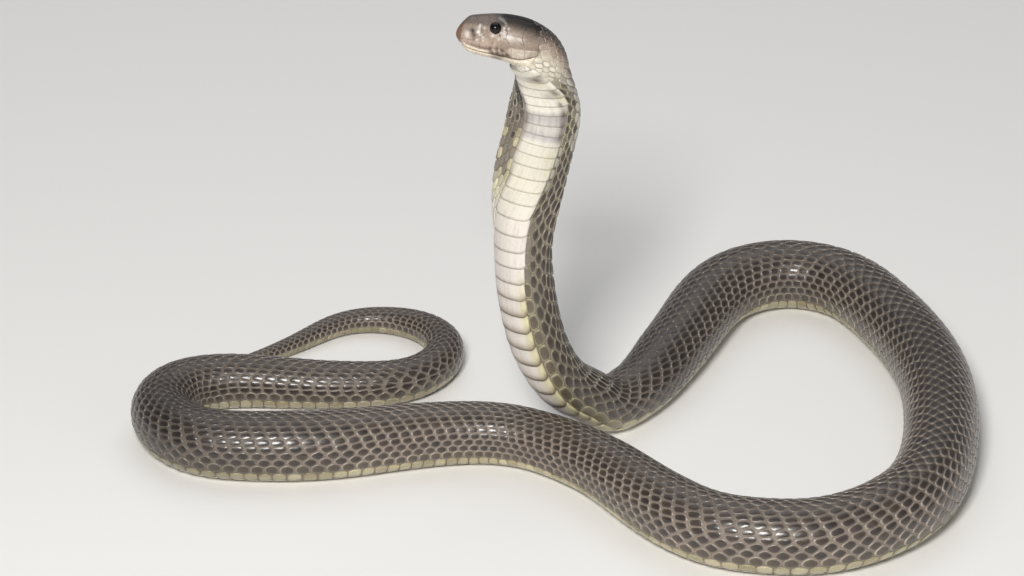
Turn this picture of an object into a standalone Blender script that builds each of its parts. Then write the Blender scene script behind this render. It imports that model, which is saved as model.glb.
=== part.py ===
"""Caspian cobra (Naja oxiana), life size, lying in one loose coil with its forebody raised.

The animal is one loft along a curved midline that runs from the snout to the tip of the tail.
Thin cuts across that loft part it into head, neck, hood, forebody, body lengths and tail lengths.
The origin is the middle of the model's box, on the floor.
"""

import math

import bmesh
import bpy
import numpy as np
from mathutils import Matrix

# Units: the sizes below are in millimetres and this turns them into metres.
MM = 0.001

# Thin gap kept wherever two pieces meet.
GAP = 0.3

# Far below any size here: it keeps a rounding error from counting a scute twice.
TINY = 1e-6

# Middle of the whole model's box on the floor, in the midline's own coordinates.
BOX_MIDDLE = (-2.45, -20.2)

# Raised part of the midline from the snout tip down to where the body meets the floor:
# place, then the direction in which the belly faces.
RAISED = (
    ((-37.6, -40.0, 166.2), (-0.10, -0.23, -0.97)),
    ((-27.7, -40.0, 165.1), (-0.10, -0.23, -0.97)),
    ((-18.0, -39.9, 164.0), (-0.10, -0.23, -0.97)),
    ((-12.2, -39.6, 161.9), (-0.40, -0.30, -0.85)),
    ((-8.4, -39.0, 157.2), (-0.75, -0.45, -0.48)),
    ((-6.9, -38.4, 151.4), (-0.80, -0.60, -0.12)),
    ((-6.4, -38.0, 145.7), (-0.50, -0.87, 0.00)),
    ((-6.6, -38.5, 134.0), (-0.04, -1.00, 0.00)),
    ((-10.1, -40.0, 119.6), (-0.04, -1.00, 0.00)),
    ((-12.9, -41.5, 105.4), (-0.26, -0.97, 0.00)),
    ((-14.5, -43.0, 91.2), (-0.57, -0.82, 0.00)),
    ((-13.8, -44.2, 77.1), (-0.74, -0.67, 0.00)),
    ((-12.3, -44.5, 64.4), (-0.77, -0.64, 0.00)),
    ((-7.6, -43.2, 44.3), (-0.76, -0.64, -0.12)),
    ((-3.7, -40.8, 34.9), (-0.70, -0.60, -0.38)),
    ((1.1, -37.2, 26.5), (-0.58, -0.50, -0.64)),
    ((6.9, -32.8, 20.6), (-0.42, -0.37, -0.83)),
    ((13.6, -27.0, 15.0), (-0.25, -0.22, -0.94)),
    ((20.1, -20.5, 11.2), (-0.08, -0.07, -1.00)),
)

# Midline on the floor, seen from above, from the foot of the raised part to the tail tip.
ON_FLOOR = (
    (28.5, -9.9),
    (38.9, 11.1),
    (50.1, 39.0),
    (68.7, 73.9),
    (90.0, 83.1),
    (110.2, 75.2),
    (123.4, 54.6),
    (134.0, 25.6),
    (139.5, -4.1),
    (139.2, -37.4),
    (134.6, -68.6),
    (122.6, -98.7),
    (106.2, -114.7),
    (88.9, -122.6),
    (69.1, -122.3),
    (54.0, -117.9),
    (38.2, -104.2),
    (24.6, -84.9),
    (13.2, -68.8),
    (3.6, -59.4),
    (-7.5, -50.8),
    (-22.4, -44.9),
    (-40.6, -45.1),
    (-62.4, -49.8),
    (-79.6, -54.5),
    (-96.9, -56.7),
    (-114.7, -56.3),
    (-131.2, -52.7),
    (-143.1, -40.5),
    (-148.0, -23.9),
    (-141.8, -8.4),
    (-126.9, -2.2),
    (-108.6, -1.9),
    (-90.6, -3.2),
    (-72.7, -2.2),
    (-58.2, 1.7),
    (-46.8, 14.4),
    (-43.2, 30.2),
    (-49.7, 47.0),
    (-65.4, 56.9),
    (-83.9, 55.5),
    (-97.4, 43.5),
    (-109.9, 32.5),
    (-122.0, 24.0),
    (-133.0, 18.5),
    (-144.5, 15.5),
    (-156.0, 14.5),
)

# Section sizes by distance from the snout: half width, height of the back above the
# midline, depth of the belly below it.
SECTIONS = (
    (0.0, 4.6, 4.6, 3.4),
    (4.0, 5.8, 6.8, 5.2),
    (8.0, 6.8, 7.6, 6.2),
    (12.0, 7.6, 8.2, 6.8),
    (16.0, 8.6, 8.6, 7.2),
    (20.0, 9.7, 8.8, 7.6),
    (25.0, 10.9, 9.2, 8.4),
    (29.0, 11.2, 9.5, 9.4),
    (33.0, 10.9, 9.3, 9.6),
    (37.0, 10.6, 8.6, 8.6),
    (43.0, 12.0, 7.6, 7.6),
    (50.0, 12.9, 6.8, 7.2),
    (57.0, 13.2, 6.3, 7.2),
    (70.0, 13.3, 6.3, 7.4),
    (84.0, 13.0, 6.9, 7.8),
    (99.0, 12.6, 7.6, 8.4),
    (113.0, 12.2, 8.6, 9.0),
    (126.0, 11.9, 9.2, 9.3),
    (147.0, 11.3, 9.8, 9.6),
    (168.0, 10.8, 10.3, 9.8),
    (190.0, 10.8, 10.5, 9.6),
    (212.0, 11.2, 10.9, 9.8),
    (236.0, 12.4, 12.2, 10.8),
    (266.0, 13.0, 12.8, 11.4),
    (305.0, 13.7, 13.5, 12.0),
    (374.0, 13.4, 13.2, 11.8),
    (469.0, 13.8, 13.6, 12.1),
    (540.0, 13.9, 13.7, 12.2),
    (600.0, 13.3, 13.1, 11.7),
    (631.0, 12.9, 12.7, 11.3),
    (675.0, 11.5, 11.5, 10.3),
    (702.0, 11.1, 11.1, 10.0),
    (737.0, 11.7, 11.7, 10.4),
    (794.0, 13.0, 12.9, 11.4),
    (829.0, 12.5, 12.4, 11.0),
    (863.0, 11.1, 11.0, 9.8),
    (896.0, 10.5, 10.3, 9.2),
    (950.0, 8.8, 8.6, 7.8),
    (999.0, 7.2, 7.0, 6.4),
    (1035.0, 5.3, 5.2, 4.8),
    (1072.0, 3.9, 3.8, 3.5),
    (1089.0, 3.1, 3.1, 2.9),
    (1116.0, 2.2, 2.2, 2.0),
    (1145.0, 1.0, 1.0, 0.9),
)

# Where one named length ends and the next starts, as distance from the snout.
HEAD_END = 33.0
NECK_END = 49.0
HOOD_END = 104.0
FOREBODY_END = 152.0
FORE_BEND_END = 204.0
VENT = 950.0
TIP_START = 1092.0

# The body comes down to the floor between these distances from the snout.
LANDING_START = 178.0
LANDING_END = 202.0

# A straight length is at most this long, a bent one turns by at most this much, and a
# length that does some of each keeps in proportion.
MOST_LENGTH = 110.0
MOST_TURN = math.radians(100.0)

# The hood opens and closes between these distances from the snout, and the head's own
# section fades out between the last two.
HOOD_OPENS = (38.0, 54.0)
HOOD_CLOSES = (84.0, 122.0)
HEAD_FADES = (26.0, 40.0)

# How full a section is, as the power on the cosine or sine round it: of the round body,
# what the spread hood adds to that, and what the head adds.
BELLY_POWER = (0.80, 1.25, -0.12)
BACK_POWER = (0.92, 0.25, -0.30)
SIDE_POWER = (1.00, 0.00, -0.10)

# The head is widest below the midline, by this share of its depth there.
HEAD_LEVEL = 0.30

# Points round a section, the distance between sections and the least such distance.
SIDES = 18
HEAD_SIDES = 40
RING_STEP = 6.6
HEAD_STEP = 1.0
LEAST_STEP = 0.4

# How far the midline's small kinks are smoothed out.
EASE = 5.0

# The snout and the tip of the tail are rounded over these lengths, and a small flat closes
# each this far in.
SNOUT_ROUND = 5.5
TAIL_ROUND = 3.0
SNOUT_FLAT = 0.12
TAIL_FLAT = 0.05

# Half angle of the flat strip under the belly.
FLAT_HALF_ANGLE = math.radians(24.0)

# Length of the broad belly scutes of the raised forebody, by distance from the snout.
SCUTE_LENGTHS = (
    (40.0, 3.8),
    (60.0, 3.8),
    (68.0, 4.4),
    (80.0, 4.9),
    (90.0, 6.0),
    (104.0, 5.5),
    (124.0, 6.3),
    (146.0, 6.3),
    (158.0, 7.0),
)

# How far the scutes stand out for each millimetre towards their free edge, how steep the
# step back is, the half angle that they cover and where their ends fade.
SCUTE_RISE = 0.115
SCUTE_STEP = 0.25
SCUTE_HALF_ANGLE = math.radians(52.0)
SCUTE_FADE_ANGLE = math.radians(41.6)
SCUTES_FROM = 40.0
SCUTES_TO = 187.0

# Distance from the snout at which the head's own axes are read off the midline.
HEAD_AXES_AT = 8.0

# Head, in its own axes from the snout tip: back along the head, out to the side, up.
EYE_PLACE = (13.3, 6.75, 4.55)
EYE_RADIUS = 2.35
NOSTRIL_PLACE = (5.6, 5.75, 2.7)
NOSTRIL_SIZE = (0.75, 0.9, 0.6)

# Mouth: thickness of the slit, half the width of the slab that cuts it, and the line that
# it follows along the head, back and up.
MOUTH_SLIT = 0.4
MOUTH_REACH = 14.0
MOUTH_LINE = (
    (-3.0, -1.4),
    (0.2, -1.8),
    (3.6, -3.7),
    (8.0, -4.7),
    (12.0, -5.0),
    (16.0, -5.5),
    (19.0, -5.8),
    (23.0, -5.6),
    (26.5, -4.6),
    (29.5, -3.4),
)

# Lips on both sides of the mouth line: how far they stand out, where they are fullest,
# and between which distances back they begin and end.
LIP_RISE = 0.35
LIP_MIDDLE = 1.0
LIPS_BEGIN = (0.5, 5.0)
LIPS_END = (24.0, 31.0)

# Swellings and hollows of the head, in its own axes: place, spread, how far they stand out.
HEAD_FORMS = (
    ((13.0, 6.4, 7.4), (4.2, 1.6, 1.3), 0.55),
    ((8.6, 6.6, 3.4), (2.4, 2.0, 1.6), -0.40),
    ((5.2, 5.6, 3.2), (1.8, 2.0, 1.4), 0.30),
    ((24.0, 10.0, 0.5), (5.0, 4.0, 4.0), 0.60),
    ((17.8, 8.4, 3.6), (2.0, 2.0, 2.4), -0.35),
    ((19.0, 0.0, 9.0), (7.0, 1.6, 2.5), -0.25),
)

# Colours of the plain solids, and how rough each one is.
PALE_NODES = ("hood", "forebody_raised")
SKIN_DARK = (0.045, 0.036, 0.030)
SKIN_PALE = (0.56, 0.52, 0.40)
EYE_BLACK = (0.010, 0.009, 0.008)
DARK_ROUGHNESS = 0.38
PALE_ROUGHNESS = 0.40
EYE_ROUGHNESS = 0.08

# Points round an eye or socket and from its pole to its pole, and the same of a nostril.
EYE_GRID = (24, 14)
NOSTRIL_GRID = (12, 8)


def spline_through(points, step):
    """Natural cubic curve through points of any number of columns, sampled about every step."""
    points = np.asarray(points, float)
    knots = np.concatenate([[0.0], np.cumsum(np.linalg.norm(np.diff(points[:, :3], axis=0), axis=1))])
    gap = np.diff(knots)
    count = len(points)
    matrix = np.zeros((count, count))
    right = np.zeros_like(points)
    matrix[0, 0] = matrix[-1, -1] = 1.0
    for i in range(1, count - 1):
        matrix[i, i - 1 : i + 2] = gap[i - 1], 2 * (gap[i - 1] + gap[i]), gap[i]
        right[i] = 6 * ((points[i + 1] - points[i]) / gap[i] - (points[i] - points[i - 1]) / gap[i - 1])
    bend = np.linalg.solve(matrix, right)
    at = np.linspace(0, knots[-1], int(knots[-1] / step) + 1)
    i = np.clip(np.searchsorted(knots, at) - 1, 0, count - 2)
    h = gap[i][:, None]
    a = (knots[i + 1] - at)[:, None] / h
    b = 1 - a
    cubic = ((a**3 - a) * bend[i] + (b**3 - b) * bend[i + 1]) * h**2 / 6
    return a * points[i] + b * points[i + 1] + cubic


def eased(values, spread):
    """Rows smoothed by a bell curve of the given spread in samples, with both ends kept."""
    reach = int(3 * spread)
    weights = np.exp(-0.5 * (np.arange(-reach, reach + 1) / spread) ** 2)
    weights /= weights.sum()
    before = 2 * values[0] - values[reach:0:-1]
    after = 2 * values[-1] - values[-2 : -reach - 2 : -1]
    padded = np.concatenate([before, values, after])
    return np.stack([np.convolve(column, weights, "valid") for column in padded.T], axis=1)


class Midline:
    """The curve from snout to tail tip, with the directions of each section."""

    STEP = 0.5

    def __init__(self):
        raised = [(*place, *belly) for place, belly in RAISED]
        floor = [(x, y, 0.0, 0.0, 0.0, -1.0) for x, y in ON_FLOOR]
        lifted = self.lift(raised, floor)
        curve = eased(spline_through(lifted, self.STEP), EASE / self.STEP)
        lengths = np.linalg.norm(np.diff(curve[:, :3], axis=0), axis=1)
        self.s = np.concatenate([[0.0], np.cumsum(lengths)])
        self.length = self.s[-1]
        self.places = curve[:, :3]
        depth = np.interp(self.s, *columns(SECTIONS, 0, 3))
        landed = smooth_step(self.s, LANDING_START, LANDING_END)
        self.places[:, 2] += landed * (depth - self.places[:, 2])
        forward = -np.gradient(self.places, self.s, axis=0)
        self.forward = forward / np.linalg.norm(forward, axis=1)[:, None]
        self.belly = curve[:, 3:]

    def lift(self, raised, floor):
        """Floor places at the height of the midline above the floor."""
        rows = np.array(raised + floor)
        s = np.concatenate([[0.0], np.cumsum(np.linalg.norm(np.diff(rows[:, :3], axis=0), axis=1))])
        depth = np.interp(s, *columns(SECTIONS, 0, 3))
        rows[len(raised) :, 2] = depth[len(raised) :]
        return rows

    def at(self, s):
        """Place, left, up and forward directions at distance s."""
        place = np.array([np.interp(s, self.s, self.places[:, k]) for k in range(3)])
        forward = np.array([np.interp(s, self.s, self.forward[:, k]) for k in range(3)])
        belly = np.array([np.interp(s, self.s, self.belly[:, k]) for k in range(3)])
        forward /= np.linalg.norm(forward)
        up = -(belly - (belly @ forward) * forward)
        up /= np.linalg.norm(up)
        if s > LANDING_END:
            forward[2] = 0.0
            forward /= np.linalg.norm(forward)
            up = np.array([0.0, 0.0, 1.0])
        return place, np.cross(up, forward), up, forward


def columns(rows, *which):
    """The columns of a table that are asked for, as arrays."""
    table = np.array(rows, float)
    return [table[:, k] for k in which]


def smooth_step(value, low, high):
    """0 below the low value, 1 above the high one, and an even curve between them."""
    t = np.clip((value - low) / (high - low), 0.0, 1.0)
    return t * t * (3 - 2 * t)


def hood_share(s):
    """1 in the spread hood, 0 in the round body."""
    return smooth_step(s, *HOOD_OPENS) * (1 - smooth_step(s, *HOOD_CLOSES))


def head_share(s):
    """1 in the head, 0 behind the nape."""
    return 1 - smooth_step(s, *HEAD_FADES)


def rounded_end(distance, reach):
    """Share of the full size at this distance from an end that is rounded over the reach."""
    return math.sqrt(max(0.0, 1 - (1 - min(distance / reach, 1.0)) ** 2))


def section(s, sides):
    """Points (side, up) round the section at distance s, from the belly's middle round the left."""
    angle = np.arange(sides) * 2 * math.pi / sides
    half_width, back, belly = (np.interp(s, *columns(SECTIONS, 0, k)) for k in (1, 2, 3))
    rounding = rounded_end(s, SNOUT_ROUND) * rounded_end(MIDLINE.length - s, TAIL_ROUND)
    half_width, back, belly = (size * rounding for size in (half_width, back, belly))
    shares = (1.0, hood_share(s), head_share(s))
    belly_power, back_power, side_power = (
        float(np.dot(power, shares)) for power in (BELLY_POWER, BACK_POWER, SIDE_POWER)
    )
    floor = smooth_step(s, LANDING_START, LANDING_END)
    down = np.cos(angle)
    flat = np.minimum(1.0, np.maximum(down, 0.0) / (1 - floor * (1 - math.cos(FLAT_HALF_ANGLE))))
    level = -HEAD_LEVEL * head_share(s) * belly
    side = half_width * np.sign(np.sin(angle)) * np.abs(np.sin(angle)) ** side_power
    below = level - (belly + level) * flat**belly_power
    above = level + (back - level) * np.maximum(-down, 0.0) ** back_power
    return side, np.where(down > 0, below, above), angle


def scute_edges():
    """Distances from the snout at which one belly scute ends and the next begins."""
    edges = [SCUTES_FROM]
    while edges[-1] < SCUTES_TO:
        edges.append(edges[-1] + float(np.interp(edges[-1], *columns(SCUTE_LENGTHS, 0, 1))))
    return edges


def scute_rise(s, angle):
    """How far the belly scutes stand out at this place."""
    passed = [edge for edge in scute_edges() if edge <= s + TINY]
    if not passed or s > SCUTES_TO:
        return np.zeros_like(angle)
    from_belly = np.minimum(angle, 2 * math.pi - angle)
    across = 1 - smooth_step(from_belly, SCUTE_FADE_ANGLE, SCUTE_HALF_ANGLE)
    return SCUTE_RISE * (s - passed[-1]) * across


def head_forms(points, centre):
    """Small swellings and hollows of the head, as moves away from the section's middle."""
    offset = points - MIDLINE.at(0.0)[0]
    back, side, up = (offset @ head_turn()).T
    moves = np.zeros(len(points))
    for place, size, move in HEAD_FORMS:
        apart = (np.stack([back, np.abs(side), up], axis=1) - place) / size
        moves += move * np.exp(-(apart**2).sum(axis=1))
    lip = up - np.interp(back, *columns(MOUTH_LINE, 0, 1))
    in_mouth = smooth_step(back, *LIPS_BEGIN) * (1 - smooth_step(back, *LIPS_END))
    moves += in_mouth * LIP_RISE * np.exp(-(((np.abs(lip) - LIP_MIDDLE) / LIP_MIDDLE) ** 2))
    out = points - centre
    length = np.maximum(np.linalg.norm(out, axis=1), TINY)
    return out / length[:, None] * moves[:, None]


def ring_places(start, end):
    """Distances of the sections of one length, with two for each scute of the raised forebody."""
    places = [start]
    s = start
    while s < end:
        ahead = [edge for edge in scute_edges() if edge > s + TINY]
        if s >= SCUTES_FROM - SCUTE_STEP and ahead:
            s = ahead[0]
            places += [s - SCUTE_STEP, s]
        else:
            s += RING_STEP if s > HEAD_END else HEAD_STEP
            if s > SCUTES_FROM - SCUTE_STEP and places[-1] < SCUTES_FROM:
                s = SCUTES_FROM
            places.append(s)
    inside = [s for s in places if start + LEAST_STEP < s < end - LEAST_STEP]
    return [start, *inside, end]


def loft(name, start, end, sides):
    """Closed length of the animal between two distances from the snout."""
    bm = bmesh.new()
    rings = []
    for s in ring_places(start, end):
        place, left, up, _ = MIDLINE.at(s)
        side, height, angle = section(s, sides)
        rise = scute_rise(s, angle)
        side = side + rise * np.sin(angle)
        height = height - rise * np.cos(angle)
        points = place + side[:, None] * left + height[:, None] * up
        points = points + head_forms(points, place)
        points[:, 2] = np.maximum(points[:, 2], 0.0)
        rings.append([bm.verts.new(point * MM) for point in points])
    for ring, after in zip(rings, rings[1:]):
        for k in range(sides):
            m = (k + 1) % sides
            bm.faces.new((ring[k], after[k], after[m], ring[m]))
    bm.faces.new(rings[0])
    bm.faces.new(list(reversed(rings[-1])))
    return object_from(bm, name)


def object_from(bm, name):
    """Object of the collection of parts, made from a mesh in the midline's coordinates."""
    bm.normal_update()
    bmesh.ops.recalc_face_normals(bm, faces=bm.faces)
    mesh = bpy.data.meshes.new(name)
    bm.to_mesh(mesh)
    bm.free()
    made = bpy.data.objects.new(name, mesh)
    PARTS.objects.link(made)
    mesh.transform(FLOOR_SHIFT)
    return made


def material(name, colour, roughness):
    """Plain skin or eye of one colour."""
    made = bpy.data.materials.new(name)
    made.use_nodes = True
    shader = made.node_tree.nodes["Principled BSDF"]
    shader.inputs["Base Color"].default_value = (*colour, 1.0)
    shader.inputs["Roughness"].default_value = roughness
    shader.inputs["Metallic"].default_value = 0.0
    return made


def head_point(back, side, up):
    """World place of a point given along the head's own axes."""
    place, left, upward, forward = MIDLINE.at(HEAD_AXES_AT)
    tip = MIDLINE.at(0.0)[0]
    return tip - back * forward + side * left + up * upward


def head_turn():
    """Matrix whose columns are the head's own axes: back, left and up."""
    _, left, up, forward = MIDLINE.at(HEAD_AXES_AT)
    return np.column_stack([-forward, left, up])


def ball(name, centre, radii, grid):
    """Ellipsoid along the head's own axes."""
    bm = bmesh.new()
    bmesh.ops.create_uvsphere(bm, u_segments=grid[0], v_segments=grid[1], radius=1.0)
    turn = head_turn()
    for vert in bm.verts:
        vert.co = (centre + turn @ (np.array(vert.co) * radii)) * MM
    return object_from(bm, name)


def make_cutter(made):
    """Turns an object into a helper that only cuts."""
    PARTS.objects.unlink(made)
    CUTTERS.objects.link(made)
    made.hide_render = True
    made.display_type = "WIRE"
    return made


def mouth_cutter():
    """Thin curved slab whose edge is the mouth line on both sides of the head."""
    rows = spline_through([(back, 0.0, up) for back, up in MOUTH_LINE], 1.0)
    bm = bmesh.new()
    half = MOUTH_SLIT / 2
    corners = ((-MOUTH_REACH, -half), (MOUTH_REACH, -half), (MOUTH_REACH, half), (-MOUTH_REACH, half))
    loops = []
    for back, _, up in rows:
        loops.append([bm.verts.new(head_point(back, y, up + z) * MM) for y, z in corners])
    for ring, after in zip(loops, loops[1:]):
        for k in range(len(corners)):
            m = (k + 1) % len(corners)
            bm.faces.new((ring[k], ring[m], after[m], after[k]))
    bm.faces.new(loops[0])
    bm.faces.new(list(reversed(loops[-1])))
    return make_cutter(object_from(bm, "mouth_slit"))


def cut(target, cutters):
    """Takes each cutter's shape out of the target."""
    for cutter in cutters:
        modifier = target.modifiers.new("cut_" + cutter.name, "BOOLEAN")
        modifier.operation = "DIFFERENCE"
        modifier.solver = "EXACT"
        modifier.object = cutter


def make_head():
    """Head with its mouth line, nostrils and sockets, and the two eyes."""
    head = loft("head", SNOUT_FLAT, HEAD_END - GAP / 2, HEAD_SIDES)
    cutters = [mouth_cutter()]
    eyes = []
    for name, turn in (("left", 1), ("right", -1)):
        back, side, up = EYE_PLACE
        centre = head_point(back, turn * side, up)
        eyes.append(ball("eye_" + name, centre, [EYE_RADIUS] * 3, EYE_GRID))
        socket = [EYE_RADIUS + GAP] * 3
        cutters.append(make_cutter(ball("socket_" + name, centre, socket, EYE_GRID)))
        back, side, up = NOSTRIL_PLACE
        hole = head_point(back, turn * side, up)
        cutters.append(make_cutter(ball("nostril_" + name, hole, NOSTRIL_SIZE, NOSTRIL_GRID)))
    cut(head, cutters)
    return head, eyes


def length_ends(start, end):
    """Ends of the equal lengths that keep within the longest length and the widest turn."""
    s = np.linspace(start, end, int(end - start))
    forward = np.array([MIDLINE.at(distance)[3] for distance in s])
    heading = np.unwrap(np.arctan2(forward[:, 1], forward[:, 0]))
    turned = np.concatenate([[0.0], np.cumsum(np.abs(np.diff(heading)))])
    load = (s - start) / MOST_LENGTH + turned / MOST_TURN
    pieces = math.ceil(load[-1])
    return [float(np.interp(load[-1] * k / pieces, load, s)) for k in range(pieces + 1)]


def name_lengths():
    """Name, start and end of every length behind the head."""
    lengths = [
        ("neck", HEAD_END, NECK_END),
        ("hood", NECK_END, HOOD_END),
        ("forebody_raised", HOOD_END, FOREBODY_END),
        ("forebody_base", FOREBODY_END, FORE_BEND_END),
    ]
    body = length_ends(FORE_BEND_END, VENT)
    lengths += [(f"body_{k + 1:02d}", a, b) for k, (a, b) in enumerate(zip(body, body[1:]))]
    tail = length_ends(VENT, TIP_START)
    lengths += [(f"tail_{k + 1}", a, b) for k, (a, b) in enumerate(zip(tail, tail[1:]))]
    lengths.append(("tail_tip", TIP_START, MIDLINE.length))
    return lengths


def main():
    """Makes every piece and gives it its material."""
    head, eyes = make_head()
    head.data.materials.append(SKIN)
    for eye in eyes:
        eye.data.materials.append(EYE)
        eye.data.shade_smooth()
    for name, start, end in name_lengths():
        last = end - (TAIL_FLAT if name == "tail_tip" else GAP / 2)
        made = loft(name, start + GAP / 2, last, SIDES)
        made.data.materials.append(PALE_SKIN if name in PALE_NODES else SKIN)


for old in list(bpy.data.objects):
    bpy.data.objects.remove(old, do_unlink=True)

PARTS = bpy.data.collections.new("caspian_cobra")
CUTTERS = bpy.data.collections.new("cutters")
for collection in (PARTS, CUTTERS):
    bpy.context.scene.collection.children.link(collection)

MIDLINE = Midline()
SKIN = material("dark_skin", SKIN_DARK, DARK_ROUGHNESS)
PALE_SKIN = material("pale_skin", SKIN_PALE, PALE_ROUGHNESS)
EYE = material("eye_black", EYE_BLACK, EYE_ROUGHNESS)

# Moves the midline's coordinates to the model's own, whose origin is its middle on the floor.
FLOOR_SHIFT = Matrix.Translation((-BOX_MIDDLE[0] * MM, -BOX_MIDDLE[1] * MM, 0.0))

main()
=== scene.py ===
"""Looks of the Caspian cobra (Naja oxiana): its skin, scales, scutes, head shields and eyes.

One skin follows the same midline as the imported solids, a little inside them. Scales and
scutes are solid plates over it, each placed by its distance s from the snout and by its share
w of the way round the section, from the belly's middle over the animal's left side.
Sizes are in millimetres, and MM turns them into metres.
"""

import math

import bpy
import numpy as np
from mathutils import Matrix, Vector
from mathutils.bvhtree import BVHTree

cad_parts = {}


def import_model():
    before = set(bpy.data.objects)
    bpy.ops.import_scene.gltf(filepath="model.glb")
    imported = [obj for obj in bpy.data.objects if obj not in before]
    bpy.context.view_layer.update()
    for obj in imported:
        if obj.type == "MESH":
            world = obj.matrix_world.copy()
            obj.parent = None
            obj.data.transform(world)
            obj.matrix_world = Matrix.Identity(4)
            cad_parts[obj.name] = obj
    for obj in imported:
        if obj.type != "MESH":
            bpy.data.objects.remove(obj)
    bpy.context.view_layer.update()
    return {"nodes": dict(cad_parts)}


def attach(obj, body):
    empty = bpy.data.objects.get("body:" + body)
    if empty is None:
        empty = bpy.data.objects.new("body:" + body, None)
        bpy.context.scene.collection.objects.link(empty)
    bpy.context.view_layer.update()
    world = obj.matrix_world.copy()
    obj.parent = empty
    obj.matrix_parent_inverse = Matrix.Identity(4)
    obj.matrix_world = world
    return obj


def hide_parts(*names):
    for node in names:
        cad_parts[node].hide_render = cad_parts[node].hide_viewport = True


MM = 0.001
SEED = 20261127
TINY = 1e-12

# Middle of the whole model's box on the floor, in the midline's own coordinates.
BOX_MIDDLE = (-2.45, -20.2)

# Raised part of the midline from the snout tip down to where the body meets the floor:
# place, then the direction in which the belly faces.
RAISED = (
    ((-37.6, -40, 166.2), (-0.1, -0.23, -0.97)), ((-27.7, -40, 165.1), (-0.1, -0.23, -0.97)),
    ((-18, -39.9, 164), (-0.1, -0.23, -0.97)), ((-12.2, -39.6, 161.9), (-0.4, -0.3, -0.85)),
    ((-8.4, -39, 157.2), (-0.75, -0.45, -0.48)), ((-6.9, -38.4, 151.4), (-0.8, -0.6, -0.12)),
    ((-6.4, -38, 145.7), (-0.5, -0.87, 0)), ((-6.6, -38.5, 134), (-0.04, -1, 0)),
    ((-10.1, -40, 119.6), (-0.04, -1, 0)), ((-12.9, -41.5, 105.4), (-0.26, -0.97, 0)),
    ((-14.5, -43, 91.2), (-0.57, -0.82, 0)), ((-13.8, -44.2, 77.1), (-0.74, -0.67, 0)),
    ((-12.3, -44.5, 64.4), (-0.77, -0.64, 0)), ((-7.6, -43.2, 44.3), (-0.76, -0.64, -0.12)),
    ((-3.7, -40.8, 34.9), (-0.7, -0.6, -0.38)), ((1.1, -37.2, 26.5), (-0.58, -0.5, -0.64)),
    ((6.9, -32.8, 20.6), (-0.42, -0.37, -0.83)), ((13.6, -27, 15), (-0.25, -0.22, -0.94)),
    ((20.1, -20.5, 11.2), (-0.08, -0.07, -1)),
)

# Midline on the floor, seen from above, from the foot of the raised part to the tail tip.
ON_FLOOR = (
    (28.5, -9.9), (38.9, 11.1), (50.1, 39), (68.7, 73.9), (90, 83.1), (110.2, 75.2), (123.4, 54.6),
    (134, 25.6), (139.5, -4.1), (139.2, -37.4), (134.6, -68.6), (122.6, -98.7), (106.2, -114.7),
    (88.9, -122.6), (69.1, -122.3), (54, -117.9), (38.2, -104.2), (24.6, -84.9), (13.2, -68.8),
    (3.6, -59.4), (-7.5, -50.8), (-22.4, -44.9), (-40.6, -45.1), (-62.4, -49.8), (-79.6, -54.5),
    (-96.9, -56.7), (-114.7, -56.3), (-131.2, -52.7), (-143.1, -40.5), (-148, -23.9),
    (-141.8, -8.4), (-126.9, -2.2), (-108.6, -1.9), (-90.6, -3.2), (-72.7, -2.2), (-58.2, 1.7),
    (-46.8, 14.4), (-43.2, 30.2), (-49.7, 47), (-65.4, 56.9), (-83.9, 55.5), (-97.4, 43.5),
    (-109.9, 32.5), (-122, 24), (-133, 18.5), (-144.5, 15.5), (-156, 14.5),
)

# Section sizes by distance from the snout: half width, height of the back above the
# midline, depth of the belly below it.
SECTIONS = (
    (0, 4.6, 4.6, 3.4), (4, 5.8, 6.8, 5.2), (8, 6.8, 7.6, 6.2), (12, 7.6, 8.2, 6.8),
    (16, 8.6, 8.6, 7.2), (20, 9.7, 8.8, 7.6), (25, 10.9, 9.2, 8.4), (29, 11.2, 9.5, 9.4),
    (33, 10.9, 9.3, 9.6), (37, 10.6, 8.6, 8.6), (43, 12, 7.6, 7.6), (50, 12.9, 6.8, 7.2),
    (57, 13.2, 6.3, 7.2), (70, 13.3, 6.3, 7.4), (84, 13, 6.9, 7.8), (99, 12.6, 7.6, 8.4),
    (113, 12.2, 8.6, 9), (126, 11.9, 9.2, 9.3), (147, 11.3, 9.8, 9.6), (168, 10.8, 10.3, 9.8),
    (190, 10.8, 10.5, 9.6), (212, 11.2, 10.9, 9.8), (236, 12.4, 12.2, 10.8), (266, 13, 12.8, 11.4),
    (305, 13.7, 13.5, 12), (374, 13.4, 13.2, 11.8), (469, 13.8, 13.6, 12.1),
    (540, 13.9, 13.7, 12.2), (600, 13.3, 13.1, 11.7), (631, 12.9, 12.7, 11.3),
    (675, 11.5, 11.5, 10.3), (702, 11.1, 11.1, 10), (737, 11.7, 11.7, 10.4), (794, 13, 12.9, 11.4),
    (829, 12.5, 12.4, 11), (863, 11.1, 11, 9.8), (896, 10.5, 10.3, 9.2), (950, 8.8, 8.6, 7.8),
    (999, 7.2, 7, 6.4), (1035, 5.3, 5.2, 4.8), (1072, 3.9, 3.8, 3.5), (1089, 3.1, 3.1, 2.9),
    (1116, 2.2, 2.2, 2), (1145, 1, 1, 0.9),
)

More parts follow.
